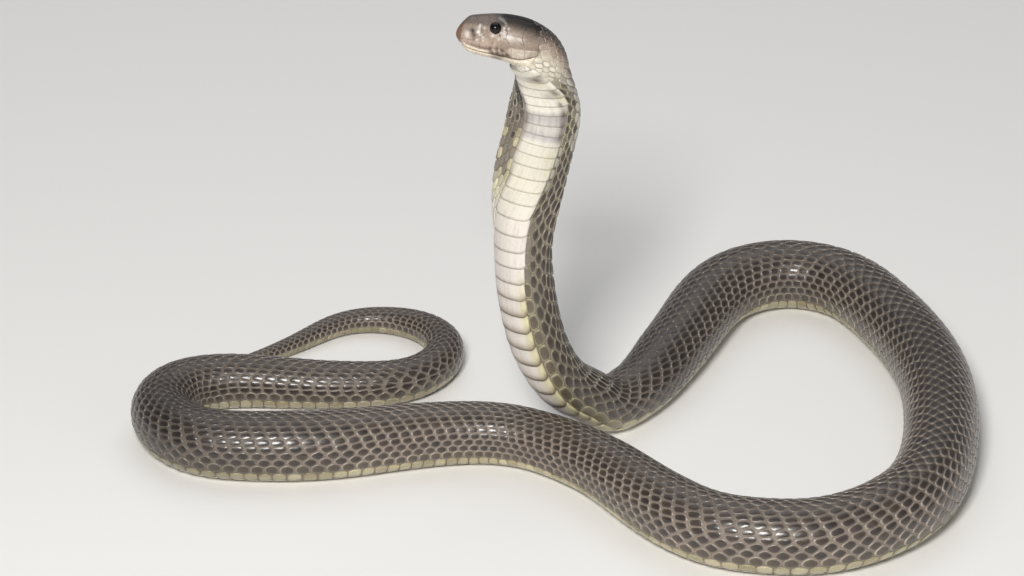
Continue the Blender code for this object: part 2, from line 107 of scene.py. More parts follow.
# Distances from the snout at which the section changes, the powers that shape it in the
# trunk, with what the hood and the head add to them, and the rounding of both ends.
VENT = 950.0
LANDING_START = 178.0
LANDING_END = 202.0
HOOD_OPENS = (38.0, 54.0)
HOOD_CLOSES = (84.0, 122.0)
HEAD_FADES = (26.0, 40.0)
BELLY_POWER = (0.80, 1.25, -0.12)
BACK_POWER = (0.92, 0.25, -0.30)
SIDE_POWER = (1.00, 0.00, -0.10)
HEAD_LEVEL = 0.30
EASE = 5.0
SNOUT_ROUND = 5.5
TAIL_ROUND = 3.0
FLAT_HALF_ANGLE = math.radians(24.0)

# Distance from the snout at which the head's own axes are taken: back, side and up from the
# snout tip. In them the eye and the nostril, with the radius of the eyeball, and the radius
# of the opening in the shields with how far outside the eye's middle it is laid and the
# number of points in an arc of it.
HEAD_AXES_AT = 8.0
EYE_PLACE = (13.3, 6.75, 4.30)
EYE_RADIUS = 2.08
EYE_RING = 1.86
EYE_BULGE = 1.2
ARC_POINTS = 7
NOSTRIL_PLACE = (5.6, 5.75, 2.7)

# The mouth line along the head, back and up, as in the solids.
MOUTH_LINE = (
    (-3, -1.4), (0.2, -1.8), (3.6, -3.7), (8, -4.7), (12, -5), (16, -5.5), (19, -5.8), (23, -5.6),
    (26.5, -4.6), (29.5, -3.4),
)
LIP_RISE = 0.35
LIP_MIDDLE = 1.0
LIPS_BEGIN = (0.5, 5.0)
LIPS_END = (24.0, 31.0)

# Swellings and hollows of the head, in its own axes: place, spread, how far they stand out.
HEAD_FORMS = (
    ((13, 6.4, 7.4), (4.2, 1.6, 1.3), 0.55), ((8.6, 6.6, 3.4), (2.4, 2, 1.6), -0.4),
    ((5.2, 5.6, 3.2), (1.8, 2, 1.4), 0.3), ((24, 10, 0.5), (5, 4, 4), 0.6),
    ((17.8, 8.4, 3.6), (2, 2, 2.4), -0.35), ((19, 0, 9), (7, 1.6, 2.5), -0.25),
)

# Length of one scale and of one belly scute along the body, by distance from the snout. One
# of them ends exactly at EDGES_THROUGH, and they reach from EDGES_FROM almost to the tip.
SCALE_LENGTHS = (
    (20, 3.2), (36, 3.7), (40, 3.8), (60, 3.8), (68, 4.4), (80, 4.9), (90, 6), (104, 5.5),
    (124, 6.3), (146, 6.3), (158, 7), (190, 6.8), (230, 6.3), (450, 6.3), (540, 5.6), (570, 5.2),
    (640, 5), (700, 4.5), (760, 4.6), (788, 5.2), (815, 4.4), (900, 4.8), (960, 4.8), (1000, 4.1),
    (1050, 3.1), (1100, 2.3), (1145, 1.7),
)
EDGES_THROUGH = 40.0
EDGES_FROM = 12.0
EDGES_SHORT_OF_TIP = 3.0

# Rows of scales up one side from the belly scutes: width against the others, the distances
# between which the row is there, and how far its scales are set back from the row below.
ROWS = (
    (2.5, (-90, 2000), 0.5), (1.15, (-90, 2000), 0.5), (1, (-90, 1070), 0.5), (1, (-90, 840), 0.5),
    (1, (8, 140), 0.2), (1, (-90, 965), 0.2), (1, (-90, 1035), 0.15), (1, (10, 125), 0.15),
    (1, (-90, 900), 0.15), (1, (-90, 1000), 0.2), (1, (-90, 1095), 0.3), (1, (-90, 1115), 0.45),
)

# Width and setting back of the row of the back. A row fades in and out over ROW_FADE, the
# widths grow to their own over ROWS_GROW, and a row is there where it is wide enough.
BACK_ROW = (1.05, 0.50)
ROW_FADE = 12.0
ROWS_GROW = (96.0, 150.0)
ROW_THERE = 0.45

# Half width of the belly scutes as a share of the way round, by distance from the snout.
BELLY_SHARES = (
    (26, 0.14), (30, 0.15), (41, 0.15), (47, 0.136), (56, 0.13), (66, 0.128), (76, 0.118),
    (84, 0.124), (91, 0.135), (102, 0.14), (110, 0.13), (122, 0.12), (140, 0.132), (168, 0.142),
    (210, 0.128), (300, 0.116), (900, 0.116), (950, 0.112), (1000, 0.11), (1140, 0.11),
)

# How far the whole coat is turned to the animal's left, as a share of the way round.
TURNS = (
    (25, 0), (33, 0.02), (42, 0.024), (47, 0.03), (56, 0.012), (64, 0), (78, -0.005), (91, -0.041),
    (102, -0.028), (110, -0.014), (122, 0),
)

# Where the scales behind the head shields begin, by share of the way round, and where the
# belly scutes begin.
SCALES_BEGIN = (
    (0, 24.5), (0.13, 26), (0.19, 27.6), (0.24, 28.2), (0.27, 27), (0.3, 25.8), (0.33, 24.8),
    (0.4, 24.4), (0.48, 23.4), (0.5, 23.4),
)
SCUTES_BEGIN = 28.6

# Length of the tail tip without scales and without scutes.
BARE_TIP = 2.5
BARE_UNDER_TIP = 4.0

# How much longer than wide the scales are drawn in their rows, by distance from the snout.
LANES = (
    (24, 1.15), (40, 1.6), (58, 2.2), (165, 2.1), (215, 1.5), (900, 1.45), (1080, 1.2),
)

# How far the skin lies inside the outer surface, by distance from the snout, and how much
# deeper it is round the nostril and the eye: place, reach, depth.
SKIN_DEPTHS = (
    (0.0, 0.3), (20.0, 0.3), (36.0, 0.34), (60.0, 0.4), (120.0, 0.55), (900.0, 0.5),
    (1000.0, 0.38), (1100.0, 0.2), (1145.0, 0.12),
)
SKIN_PITS = ((NOSTRIL_PLACE, 0.75, 0.9), (EYE_PLACE, 2.2, 1.0))

# Points of the skin round the body, its first rings, and the steps between the others, which
# grow longer behind the head.
SKIN_SIDES = 128
SKIN_FIRST = (0.02, 0.08, 0.2, 0.4, 0.7)
HEAD_STEP = 0.4
BODY_STEP = 2.2
STEPS_CHANGE = 44.0
SKIN_LOWEST = 0.02

# Half the gap between scales of full size, and how far chance moves them along the body, in
# scales, and round it, as a share of the way.
GAPE = 0.08
JITTER = (0.05, 0.0016)

# Small scales of the neck: where they begin and end, length of one, rows on one side.
NECK_START = 23.0
NECK_END = 36.0
NECK_LENGTH = 2.5
NECK_ROWS = 13

# The small scales lie before the first of these distances, and the rows behind the second.
SMALL_END = NECK_END + 0.3
ROWS_START = NECK_END + 0.6

# Two rows of small scales of the throat: distance and number.
GULARS = ((25.4, 7), (27.4, 6))

# Rings of a scale from its skirt to its middle: share of its reach, height at its middle
# line and how much higher the rear side stands, the share of the rim's colour and how much
# larger that share is at the rear. The last one is the middle point.
SCALE_RINGS = (
    (1.00, -0.80, 0.00, 1.20, 0.00),
    (0.97, -0.34, 0.16, 1.75, 0.15),
    (0.91, -0.20, 0.12, 1.05, 0.10),
    (0.83, -0.13, 0.08, 0.78, 0.30),
    (0.70, -0.08, 0.04, 0.08, 0.08),
    (0.00, 0.00, 0.00, 0.00, 0.00),
)
SCALE_SIDES = 16
ROUNDING = 7
MOST_STRETCH = 1.30
LEAST_STRETCH = 0.60
MOST_TRIANGLES = 190000

# The flat map of the skin lies in strips, which fill this share of their place across and
# along, and each plate is a small patch on it.
STRIPS = 4
STRIP_LENGTH = 285.0
STRIP_FILL = (0.94, 0.98)
PATCH = 0.0015


def linear(*colour):
    """Colour of a screen, 0 to 255, as the shader's own."""
    c = np.array(colour, float) / 255
    return np.where(c <= 0.04045, c / 12.92, ((c + 0.055) / 1.055) ** 2.4)


# Colours, as they look on a screen.
DARK_SCALE = linear(44, 36, 31)
WARM_SCALE = linear(60, 49, 42)
GREY_RIM = linear(126, 116, 107)
NET = linear(128, 118, 108)
LOW_SCALE = linear(96, 86, 72)
CREAM = linear(226, 221, 208)
FLOOR_CREAM = linear(206, 199, 180)
BELLY_PINK = linear(229, 221, 214)
PALE_YELLOW = linear(214, 206, 164)
ROW_CREAM = linear(184, 175, 144)
ROW_OLIVE = linear(152, 142, 108)
OLIVE = linear(98, 88, 68)
SEAM_BROWN = linear(134, 118, 98)
LAVENDER = linear(172, 166, 168)
BLOTCH = linear(106, 92, 83)
# Brownish painted shadow where one belly scute overlaps the next.
SCUTE_SHADOW_BROWN = linear(150, 134, 112)
ROW_BROWN = linear(80, 70, 58)
HOOD_DARK = linear(62, 53, 46)
FLANK_RIM = linear(128, 120, 105)
FLANK_LINE = linear(150, 150, 136)
FLANK_PALE = linear(166, 161, 146)
HOOD_GREY = linear(124, 114, 104)
YELLOW_LINE = linear(164, 157, 120)
EDGE_GREY = linear(192, 189, 180)
WING_BROWN = linear(104, 93, 83)
WING_RIM = linear(150, 145, 130)
WING_OVAL = linear(76, 66, 58)
# Painted shadow of the cleft between the throat and the hood's right wing.
CLEFT_SHADOW = linear(30, 25, 22)
HEAD_TAN = linear(150, 134, 121)
HEAD_PINK = linear(174, 155, 141)
SNOUT_TOP = linear(116, 105, 98)
CROWN = linear(30, 26, 24)
# Painted sheen of the brows.
CROWN_SHEEN = linear(96, 90, 87)
LIP_WHITE = linear(226, 212, 192)
LIP_PALE = linear(190, 177, 160)
# Brown of the lips' mottling, also used as painted shade under the jaw.
LIP_BROWN_AND_JAW_SHADE = linear(66, 52, 38)
LIP_GREY = linear(140, 123, 108)
LIP_LINE = linear(104, 82, 68)
ROSTRAL_BROWN = linear(132, 100, 78)
NOSTRIL_GREY = linear(70, 58, 58)
# Painted shade in the nostril.
NOSTRIL_SHADE = linear(20, 17, 17)
# White of pale spots and of painted highlights on the head.
PALE_SPOT_AND_HIGHLIGHT = linear(226, 219, 211)
BROW_GREY = linear(158, 154, 150)
JAW_WHITE = linear(222, 214, 196)
TAIL_GREY = linear(108, 100, 92)
PUPIL = linear(4, 4, 4)
IRIS = linear(22, 16, 13)

# Colour of the first row of scales in the raised part, by distance from the snout.
FIRST_ROW = (
    (40, HOOD_DARK), (58, HOOD_DARK), (64, FLANK_PALE), (77, FLANK_PALE), (81, HOOD_DARK),
    (91, HOOD_DARK), (95, HOOD_GREY), (110, HOOD_GREY), (117, ROW_BROWN), (168, ROW_BROWN),
    (192, OLIVE), (215, ROW_OLIVE),
)

# Colour of the neck by share of the way up from the belly's middle.
NECK_TONES = (
    (0.14, JAW_WHITE), (0.23, JAW_WHITE), (0.28, linear(172, 157, 142)),
    (0.33, linear(112, 98, 89)), (0.38, linear(62, 54, 50)), (0.5, linear(44, 38, 36)),
)

# Middle of the hood's pale edge as a share of the way round, by distance from the snout.
EDGE_LINE = (
    (33, 0.275), (38, 0.258), (44.5, 0.227), (51, 0.212), (56, 0.228), (62, 0.235),
)

# Painted light and shade along the trunk, by distance from the snout: the coat is darker where the
# body turns away from the light and lighter where it faces it.
PAINTED_LIGHT_ALONG = (
    (200, 1), (218, 0.68), (245, 0.86), (300, 1.05), (360, 0.92), (430, 0.74), (490, 0.88),
    (560, 1.14), (650, 1.16), (765, 1.24), (805, 0.88), (838, 0.56), (868, 0.84), (920, 1.05),
    (1140, 1.05),
)

# Distances from the snout between which the colours change: from the raised part to the
# trunk, from the neck to the hood, to an olive first row and to the tail. The wing of the
# hood on the animal's right is creamy between two distances, with this ease.
RAISED_FADES = (150.0, 205.0)
NECK_FADES = (33.0, 41.0)
OLIVE_BEGINS = (108.0, 122.0)
CREAMY_WING = (80.0, 126.0, 2.5)
TAIL_FADES = (900.0, 1000.0)

# Small marks of the head seen from the side: back, up, spread, colour, strength. Most white ones
# are painted highlights, a few are pale spots, and the darkest is painted shade in the nostril.
HEAD_MARKS = (
    (5.5, 2.3, 1.2, NOSTRIL_GREY, 0.55), (5.5, 2.8, 0.65, NOSTRIL_SHADE, 1),
    (6.1, 1, 0.9, NOSTRIL_GREY, 0.75), (6.3, -0.6, 0.6, LIP_LINE, 0.5),
    (3.7, 1.5, 0.8, PALE_SPOT_AND_HIGHLIGHT, 0.75), (3.9, 0.5, 0.7, PALE_SPOT_AND_HIGHLIGHT, 0.65),
    (7.6, 2.4, 0.6, PALE_SPOT_AND_HIGHLIGHT, 0.75), (8.3, 1.4, 0.5, PALE_SPOT_AND_HIGHLIGHT, 0.65),
    (9.3, 0.6, 0.45, PALE_SPOT_AND_HIGHLIGHT, 0.55), (9.6, -0.4, 0.4, PALE_SPOT_AND_HIGHLIGHT, 0.55),
    (7.2, -0.5, 0.5, PALE_SPOT_AND_HIGHLIGHT, 0.55), (8.6, 2.6, 0.35, LIP_LINE, 0.6),
    (9, 3.2, 0.4, LIP_LINE, 0.45), (8, 4.6, 0.45, PALE_SPOT_AND_HIGHLIGHT, 0.65),
    (9.6, 3.9, 0.45, PALE_SPOT_AND_HIGHLIGHT, 0.7), (10.6, 1.2, 1.3, LIP_GREY, 0.5),
    (12.5, -0.4, 1.2, LIP_GREY, 0.45), (12.6, 1.7, 0.55, PALE_SPOT_AND_HIGHLIGHT, 0.85),
    (13.6, 1.5, 0.4, LIP_PALE, 0.5), (14.6, 7.5, 0.42, BROW_GREY, 0.8),
    (15.4, 7.2, 0.42, BROW_GREY, 0.8), (16.1, 6.8, 0.42, BROW_GREY, 0.8),
    (16.7, 6.3, 0.42, BROW_GREY, 0.8), (17.1, 5.6, 0.42, BROW_GREY, 0.8),
    (15.8, 1.3, 0.5, PALE_SPOT_AND_HIGHLIGHT, 0.75), (14.8, 0.8, 0.5, PALE_SPOT_AND_HIGHLIGHT, 0.45),
    (16.3, 4.6, 0.45, PALE_SPOT_AND_HIGHLIGHT, 0.8), (16.4, 3.2, 0.5, PALE_SPOT_AND_HIGHLIGHT, 0.8),
    (17.8, 4.6, 0.4, PALE_SPOT_AND_HIGHLIGHT, 0.7), (17, 4, 0.35, CROWN, 0.85), (17.1, 2.3, 0.35, CROWN, 0.5),
    (15.2, 2.1, 0.4, CROWN, 0.6), (18.1, 1.9, 1, PALE_SPOT_AND_HIGHLIGHT, 0.95),
    (19.4, 1.5, 1.5, PALE_SPOT_AND_HIGHLIGHT, 0.45), (21.5, 1.4, 1.4, PALE_SPOT_AND_HIGHLIGHT, 0.15),
    (15.4, -1.6, 1.2, LIP_GREY, 0.55), (17.6, -1.6, 1, LIP_LINE, 0.25),
    (12, -2.9, 0.7, LIP_BROWN_AND_JAW_SHADE, 0.85), (13, -4.4, 0.7, LIP_BROWN_AND_JAW_SHADE, 0.9),
    (14.4, -2.6, 0.7, LIP_BROWN_AND_JAW_SHADE, 0.75), (14.8, -4.4, 0.9, LIP_BROWN_AND_JAW_SHADE, 0.9),
    (16.4, -3, 0.8, LIP_BROWN_AND_JAW_SHADE, 0.8), (16.8, -4.8, 0.9, LIP_BROWN_AND_JAW_SHADE, 0.9),
    (18.2, -4.4, 0.8, LIP_BROWN_AND_JAW_SHADE, 0.85), (19, -5.2, 0.8, LIP_BROWN_AND_JAW_SHADE, 0.8),
    (13.5, -3.5, 0.45, LIP_PALE, 0.85), (15.3, -3.2, 0.4, LIP_PALE, 0.8),
    (15.9, -3.9, 0.35, LIP_PALE, 0.65), (17.2, -3.9, 0.35, LIP_PALE, 0.6),
    (29, -2.2, 1.5, LIP_LINE, 0.6), (26, -4, 1.4, LIP_LINE, 0.35),
)

# Marks on the belly scutes under the hood: distance, share of the way round, spread in distance and
# in share, colour, strength. The darkest ones, by the right edge, are painted shadow of the cleft
# beside the throat.
BELLY_MARKS = (
    (34.9, 0.092, 1.9, 0.04, BLOTCH, 0.9), (35.4, 0.045, 1.4, 0.04, BLOTCH, 0.35),
    (33, 0.128, 1.2, 0.018, BLOTCH, 0.6), (42, 0.112, 1.9, 0.026, BLOTCH, 0.9),
    (43.4, 0.06, 1.3, 0.035, BLOTCH, 0.45), (47.4, 0.094, 1.3, 0.014, BLOTCH, 0.9),
    (38.2, 0.06, 1.6, 0.05, PALE_YELLOW, 0.45), (45, 0.118, 1.6, 0.03, PALE_YELLOW, 0.6),
    (51.5, 0.108, 2.4, 0.022, BLOTCH, 0.95), (55.5, 0.108, 2.2, 0.018, BLOTCH, 0.9),
    (59.5, 0.106, 2.4, 0.018, BLOTCH, 0.9), (46.5, -0.128, 2.2, 0.014, CLEFT_SHADOW, 0.85),
    (43, -0.14, 2.2, 0.014, CLEFT_SHADOW, 0.85), (49.5, -0.124, 1.8, 0.01, CLEFT_SHADOW, 0.7),
    (40.5, -0.11, 1.6, 0.016, BLOTCH, 0.5), (55, -0.114, 5, 0.022, BLOTCH, 0.75),
    (64, -0.122, 5, 0.016, BLOTCH, 0.6), (76, -0.112, 6, 0.016, BLOTCH, 0.55),
    (67, 0.08, 2.5, 0.03, PALE_YELLOW, 0.45), (72, 0.096, 2, 0.018, PALE_YELLOW, 0.4),
)

# Corners of the head shields on one side, in the head's own axes: back, side, up.
CORNERS = {
    "ros_top": (3.2, 0, 5.6), "ros_a": (2, 2.5, 3.6), "ros_b": (1.7, 3.6, -1),
    "ros_c": (1.6, 3.2, -2.3), "lip_mid": (0.25, 0, -1.55), "nas_t": (5.4, 4.7, 5.2),
    "nas_b": (5.7, 6.3, -0.6), "int_r": (6.4, 0, 7.2), "int_s": (6.8, 4.7, 6),
    "pos_t": (8.4, 5.5, 5.7), "pos_b": (8.4, 6.9, 0.9), "pre_r": (10.4, 0, 7.8),
    "pre_o": (11, 5.5, 7), "fro_a": (10.8, 2.7, 7.5), "fro_b": (15.8, 2.6, 8.2),
    "fro_r": (18.4, 0, 8.3), "sup_r": (17, 5.9, 7.4), "par_a": (20, 7.6, 6.4),
    "par_b": (24, 7.3, 5.8), "par_c": (27.2, 4.4, 6.2), "par_m": (25.4, 0, 7.2),
    "pos_1": (17.3, 7.4, 5.2), "pos_2": (17.5, 8.1, 3), "pos_3": (17.2, 8.4, 1),
    "sl4_t": (15.6, 8, 1), "sl1_b": (5.4, 6, -3.85), "sl2_b": (8.4, 6.8, -4.5),
    "sl3_b": (12.3, 7.6, -4.75), "sl4_b": (16, 8.6, -5.2), "sl5_b": (19.6, 9.6, -5.5),
    "sl6_b": (24.2, 10.6, -5.1), "sl7_b": (29.3, 10.8, -3.3), "sl5_t": (19.4, 9.6, -2.2),
    "sl6_t": (24, 10.8, -2), "sl7_t": (29.4, 10.9, -1.2), "tem_1": (18.4, 9, -0.8),
    "tem_2": (22.8, 9.4, 2.4), "tem_3": (27.6, 8.6, 3.6), "tem_4": (28.6, 9.6, 1.4),
    "nos_t": (5.5, 5.8, 3.6), "nos_b": (5.6, 6.2, 1.8),
}

# Shields of one side: name and corners in order. A corner is a name, or an arc round the eye
# between two angles. A shield of the middle gives its left half.
SIDE_SHIELDS = (
    ("internasal", ("ros_top", "ros_a", "nas_t", "int_s", "int_r")),
    ("prefrontal", ("int_r", "int_s", "pos_t", "pre_o", "fro_a", "pre_r")),
    ("nasal_front", ("ros_a", "nas_t", "nos_t", "nos_b", "nas_b", "ros_b")),
    ("nasal_rear", ("nas_t", "int_s", "pos_t", "pos_b", "nas_b", "nos_b", "nos_t")),
    ("preocular", ("pos_t", "pre_o", ("eye", 130, 208), "pos_b")),
    ("supraocular", ("pre_o", "fro_a", "fro_b", "sup_r", ("eye", 52, 130))),
    ("parietal", ("fro_r", "fro_b", "sup_r", "par_a", "par_b", "par_c", "par_m")),
    ("postocular_1", ("sup_r", "pos_1", ("eye", 22, 52))),
    ("postocular_2", ("pos_1", "pos_2", ("eye", -14, 22))),
    ("postocular_3", ("pos_2", "pos_3", "sl4_t", ("eye", -50, -14))),
    ("temporal_1", ("sup_r", "par_a", "par_b", "tem_2", "pos_2", "pos_1")),
    ("temporal_2", ("pos_2", "tem_2", "sl6_t", "sl5_t", "tem_1", "pos_3")),
    ("temporal_3", ("par_b", "par_c", "tem_3", "tem_2")),
    ("temporal_4", ("tem_2", "tem_3", "tem_4", "sl7_t", "sl6_t")),
    ("labial_1", ("ros_b", "nas_b", "sl1_b", "ros_c")),
    ("labial_2", ("nas_b", "pos_b", "sl2_b", "sl1_b")),
    ("labial_3", ("pos_b", ("eye", 208, 262), "sl3_b", "sl2_b")),
    ("labial_4", (("eye", 262, 310), "sl4_t", "sl4_b", "sl3_b")),
    ("labial_5", ("sl4_t", "pos_3", "tem_1", "sl5_t", "sl5_b", "sl4_b")),
    ("labial_6", ("sl5_t", "sl6_t", "sl6_b", "sl5_b")),
    ("labial_7", ("sl6_t", "sl7_t", "sl7_b", "sl6_b")),
)
MIDDLE_SHIELDS = (
    ("rostral", ("ros_top", "ros_a", "ros_b", "ros_c", "lip_mid")),
    ("frontal", ("pre_r", "fro_a", "fro_b", "fro_r")),
)

# Rings of a shield: distance in from its outline, share of the way to its middle, height.
# Then how light the rings are from the outline inward.
SHIELD_RINGS = (
    (0.02, 0, -0.5), (0.02, 0, -0.06), (0.07, 0, -0.03), (0.2, 0, -0.01), (0.3, 0.06, 0),
    (0.3, 0.14, 0), (0.3, 0.22, 0), (0.3, 0.3, 0), (0.3, 0.38, 0), (0.3, 0.46, 0), (0.3, 0.55, 0),
    (0.3, 0.65, 0), (0.3, 0.8, 0),
)
SHIELD_SHADES = (0.84, 0.86, 0.92, 1.0)

# Outline of a shield: step between its points, the fewest of them in a shield of the side and
# in the others, and the most.
OUTLINE_STEP = 0.30
FEWEST_AT_SIDE = 24
FEWEST_ELSEWHERE = 20
MOST_POINTS = 100

# Shields of the lower jaw, by distance from the snout and share of the way from the mouth
# line to the middle of the chin: where one lip shield ends and the next begins, then the
# others. The corners of the mental shield also give their side. The lips' shields reach
# this share down, the first one further, and all stay off the mouth line.
LIP_SHARES = (0.62, 0.42)
BELOW_MOUTH = 0.3
JAW_END = 34.0
LIP_CUTS = (1.9, 4.4, 7.0, 9.8, 13.0, 16.4, 19.6, 22.8, 26.5)
CHIN_SHIELDS = (
    ("chin_1", ((4.6, 0.98), (4.8, 0.46), (10.2, 0.44), (11.2, 0.6), (10.6, 0.98))),
    ("chin_2", ((11.0, 0.98), (11.6, 0.6), (16.8, 0.44), (18.4, 0.7), (17.4, 0.98))),
    ("gular_1", ((17.6, 0.96), (17.2, 0.46), (20.2, 0.44), (20.6, 0.96))),
    ("gular_2", ((20.8, 0.96), (20.4, 0.46), (23.4, 0.44), (23.8, 0.96))),
)
MENTAL = (
    (1.7, 0.05, 1), (1.0, 0.2, 1), (1.0, 0.2, -1), (1.7, 0.05, -1), (4.3, 0.95, -1), (4.3, 0.95, 1),
)

# Spread of the colours of one row of scales into the next, in rows.
ROW_SPREAD = 0.45

# A scale of this reach or more has its full height and a smaller one less, down to the least
# size. Inside its gap a scale keeps at least a share of its reach.
FULL_REACH = 2.6
LEAST_SIZE = 0.35
LEAST_WITHIN = 0.3

# How much chance changes the light of a scale's middle and rim, of a scute and of a shield.
MIDDLE_CHANCE = 0.36
RIM_CHANCE = 0.30
SCUTE_CHANCE = 0.06
SHIELD_CHANCE = 0.12

# How far all plates are sunk, and the share of the way round between paired tail scutes.
SINK = 0.02
TAIL_PART = 0.003

# Points of a belly scute along the body and across it, and of an eye from pole to pole and
# round it. Axis of the left eye: back, side, up.
SCUTE_GRID = (7, 25)
EYE_GRID = (40, 64)
EYE_AXIS = (-0.22, 1.0, 0.18)

# Materials: name, roughness, shine, weight of the coat, bump, grain, mottling. The last one,
# for the wet eyes, has its own roughness of the coat.
MATERIALS = (
    ("skin", 0.50, 0.30, 0.05, 0.35, 3500.0, 0.20),
    ("scales", 0.36, 0.40, 0.70, 0.45, 3400.0, 0.16),
    ("scutes", 0.45, 0.25, 0.12, 0.15, 3000.0, 0.05),
    ("shields", 0.42, 0.18, 0.18, 0.55, 2200.0, 0.24),
    ("wet_eye", 0.30, 0.10, 0.5, 0.03, 2600.0, 0.10, 0.03),
)

# Stage, in metres: floor, camera, and lights with place, target, size, power and colour.
FLOOR_SIZE = 6.0
FLOOR_LEVEL = -0.0003
FLOOR_COLOUR = (0.93, 0.92, 0.90, 1.0)
CAMERA_PLACE = (-0.0155913, -1.3173503, 0.7139165)
CAMERA_TILT = 63.5
LENS = 141.76
SENSOR = 36.0
TARGET = (0.0, 0.0, 0.04)
LIGHTS = (
    ("key", (-0.22, -1.28, 1.08), TARGET, 0.36, 24.0, (1.0, 0.98, 0.95)),
    ("fill", (1.2, -0.9, 0.7), TARGET, 0.9, 1.5, (0.95, 0.97, 1.0)),
    ("top", (0.0, 0.9, 1.5), (0.0, 0.45, 0.0), 1.8, 9.0, (1.0, 1.0, 1.0)),
)
SURROUND = (0.9, 0.93, 1.0, 1.0)
SURROUND_POWER = 0.14


def run_along(points):
    """Distance along a line of points, from its first."""
    steps = np.linalg.norm(np.diff(points[:, :3], axis=0), axis=1)
    return np.concatenate([[0.0], np.cumsum(steps)])


def spline_through(points, step):
    """Natural cubic curve through points of any number of columns, sampled about every step."""
    knots = run_along(points)
    gap = np.diff(knots)
    count = len(points)
    matrix = np.zeros((count, count))
    right = np.zeros_like(points)
    matrix[0, 0] = matrix[-1, -1] = 1.0
    for i in range(1, count - 1):
        matrix[i, i - 1 : i + 2] = gap[i - 1], 2 * (gap[i - 1] + gap[i]), gap[i]
    slopes = np.diff(points, axis=0) / gap[:, None]
    right[1:-1] = 6 * np.diff(slopes, axis=0)
    bend = np.linalg.solve(matrix, right)
    at = np.linspace(0, knots[-1], int(knots[-1] / step) + 1)
    i = np.clip(np.searchsorted(knots, at) - 1, 0, count - 2)
    h = gap[i][:, None]
    a = (knots[i + 1] - at)[:, None] / h
    b = 1 - a
    cubic = ((a**3 - a) * bend[i] + (b**3 - b) * bend[i + 1]) * h**2 / 6
    return a * points[i] + b * points[i + 1] + cubic


def eased(values, spread):
    """Rows smoothed by a bell curve of the given spread in samples, with both ends kept."""
    reach = int(3 * spread)
    weights = np.exp(-0.5 * (np.arange(-reach, reach + 1) / spread) ** 2)
    weights /= weights.sum()
    before = 2 * values[0] - values[reach:0:-1]
    after = 2 * values[-1] - values[-2 : -reach - 2 : -1]
    padded = np.concatenate([before, values, after])
    return np.stack([np.convolve(column, weights, "valid") for column in padded.T], axis=1)


def read(table, at, column=1):
    """A column of a table at the places asked for, read between its rows."""
    rows = np.array(table, float)
    return np.interp(at, rows[:, 0], rows[:, column])


def smooth_step(value, low, high):
    """0 below the low value, 1 above the high one, and an even curve between them."""
    t = np.clip((value - low) / (high - low), 0.0, 1.0)
    return t * t * (3 - 2 * t)


def between(value, low, high, ease):
    """1 between two values and 0 outside them, with an even step at both."""
    end = smooth_step(value, high - ease, high + ease)
    return smooth_step(value, low - ease, low + ease) * (1 - end)


def bump_at(value, middle, spread):
    """Even hump of height one about a value."""
    return np.exp(-(((value - middle) / spread) ** 2))


def unit(vectors):
    """The same directions with a length of one."""
    return vectors / np.maximum(np.linalg.norm(vectors, axis=-1, keepdims=True), TINY)


def dot(a, b):
    """Products of two arrays of vectors, one by one."""
    return (a * b).sum(axis=-1)


class Midline:
    """The curve from snout to tail tip, with the directions of each section."""

    STEP = 0.5

    def __init__(self):
        raised = [(*place, *belly) for place, belly in RAISED]
        floor = [(x, y, 0.0, 0.0, 0.0, -1.0) for x, y in ON_FLOOR]
        rows = np.array(raised + floor)
        rows[len(raised) :, 2] = read(SECTIONS, run_along(rows), 3)[len(raised) :]
        curve = eased(spline_through(rows, self.STEP), EASE / self.STEP)
        self.s = run_along(curve)
        self.length = self.s[-1]
        self.places = curve[:, :3]
        landed = smooth_step(self.s, LANDING_START, LANDING_END)
        self.places[:, 2] += landed * (read(SECTIONS, self.s, 3) - self.places[:, 2])
        self.forward = unit(-np.gradient(self.places, self.s, axis=0))
        self.belly = curve[:, 3:]
        self.places[:, :2] -= BOX_MIDDLE

    def at(self, s):
        """Places, left, up and forward directions at distances s."""
        s = np.atleast_1d(s)
        place, forward, belly = (
            np.stack([np.interp(s, self.s, rows[:, k]) for k in range(3)], axis=1)
            for rows in (self.places, self.forward, self.belly)
        )
        forward = unit(forward)
        up = unit(dot(belly, forward)[:, None] * forward - belly)
        floor = s > LANDING_END
        forward[floor, 2] = 0.0
        forward = unit(forward)
        up[floor] = (0.0, 0.0, 1.0)
        return place, np.cross(up, forward), up, forward


MIDLINE = Midline()
LENGTH = MIDLINE.length
TIP = MIDLINE.at(0.0)[0][0]
HEAD_LEFT, HEAD_UP, HEAD_FORWARD = (rows[0] for rows in MIDLINE.at(HEAD_AXES_AT)[1:])
HEAD_TURN = np.column_stack([-HEAD_FORWARD, HEAD_LEFT, HEAD_UP])


def head_axes(places):
    """Back, side and up of places, in the head's own axes."""
    return np.moveaxis((places - TIP) @ HEAD_TURN, -1, 0)


def head_place(back, side, up):
    """Place given along the head's own axes."""
    return TIP + HEAD_TURN @ np.array((back, side, up), float)


def mouth_gap(back, up):
    """Height above the mouth line."""
    return up - read(MOUTH_LINE, back)


def rounded_end(distance, reach):
    """Share of the full size at this distance from an end that is rounded over the reach."""
    return np.sqrt(np.maximum(0.0, 1 - (1 - np.clip(distance / reach, 0.0, 1.0)) ** 2))


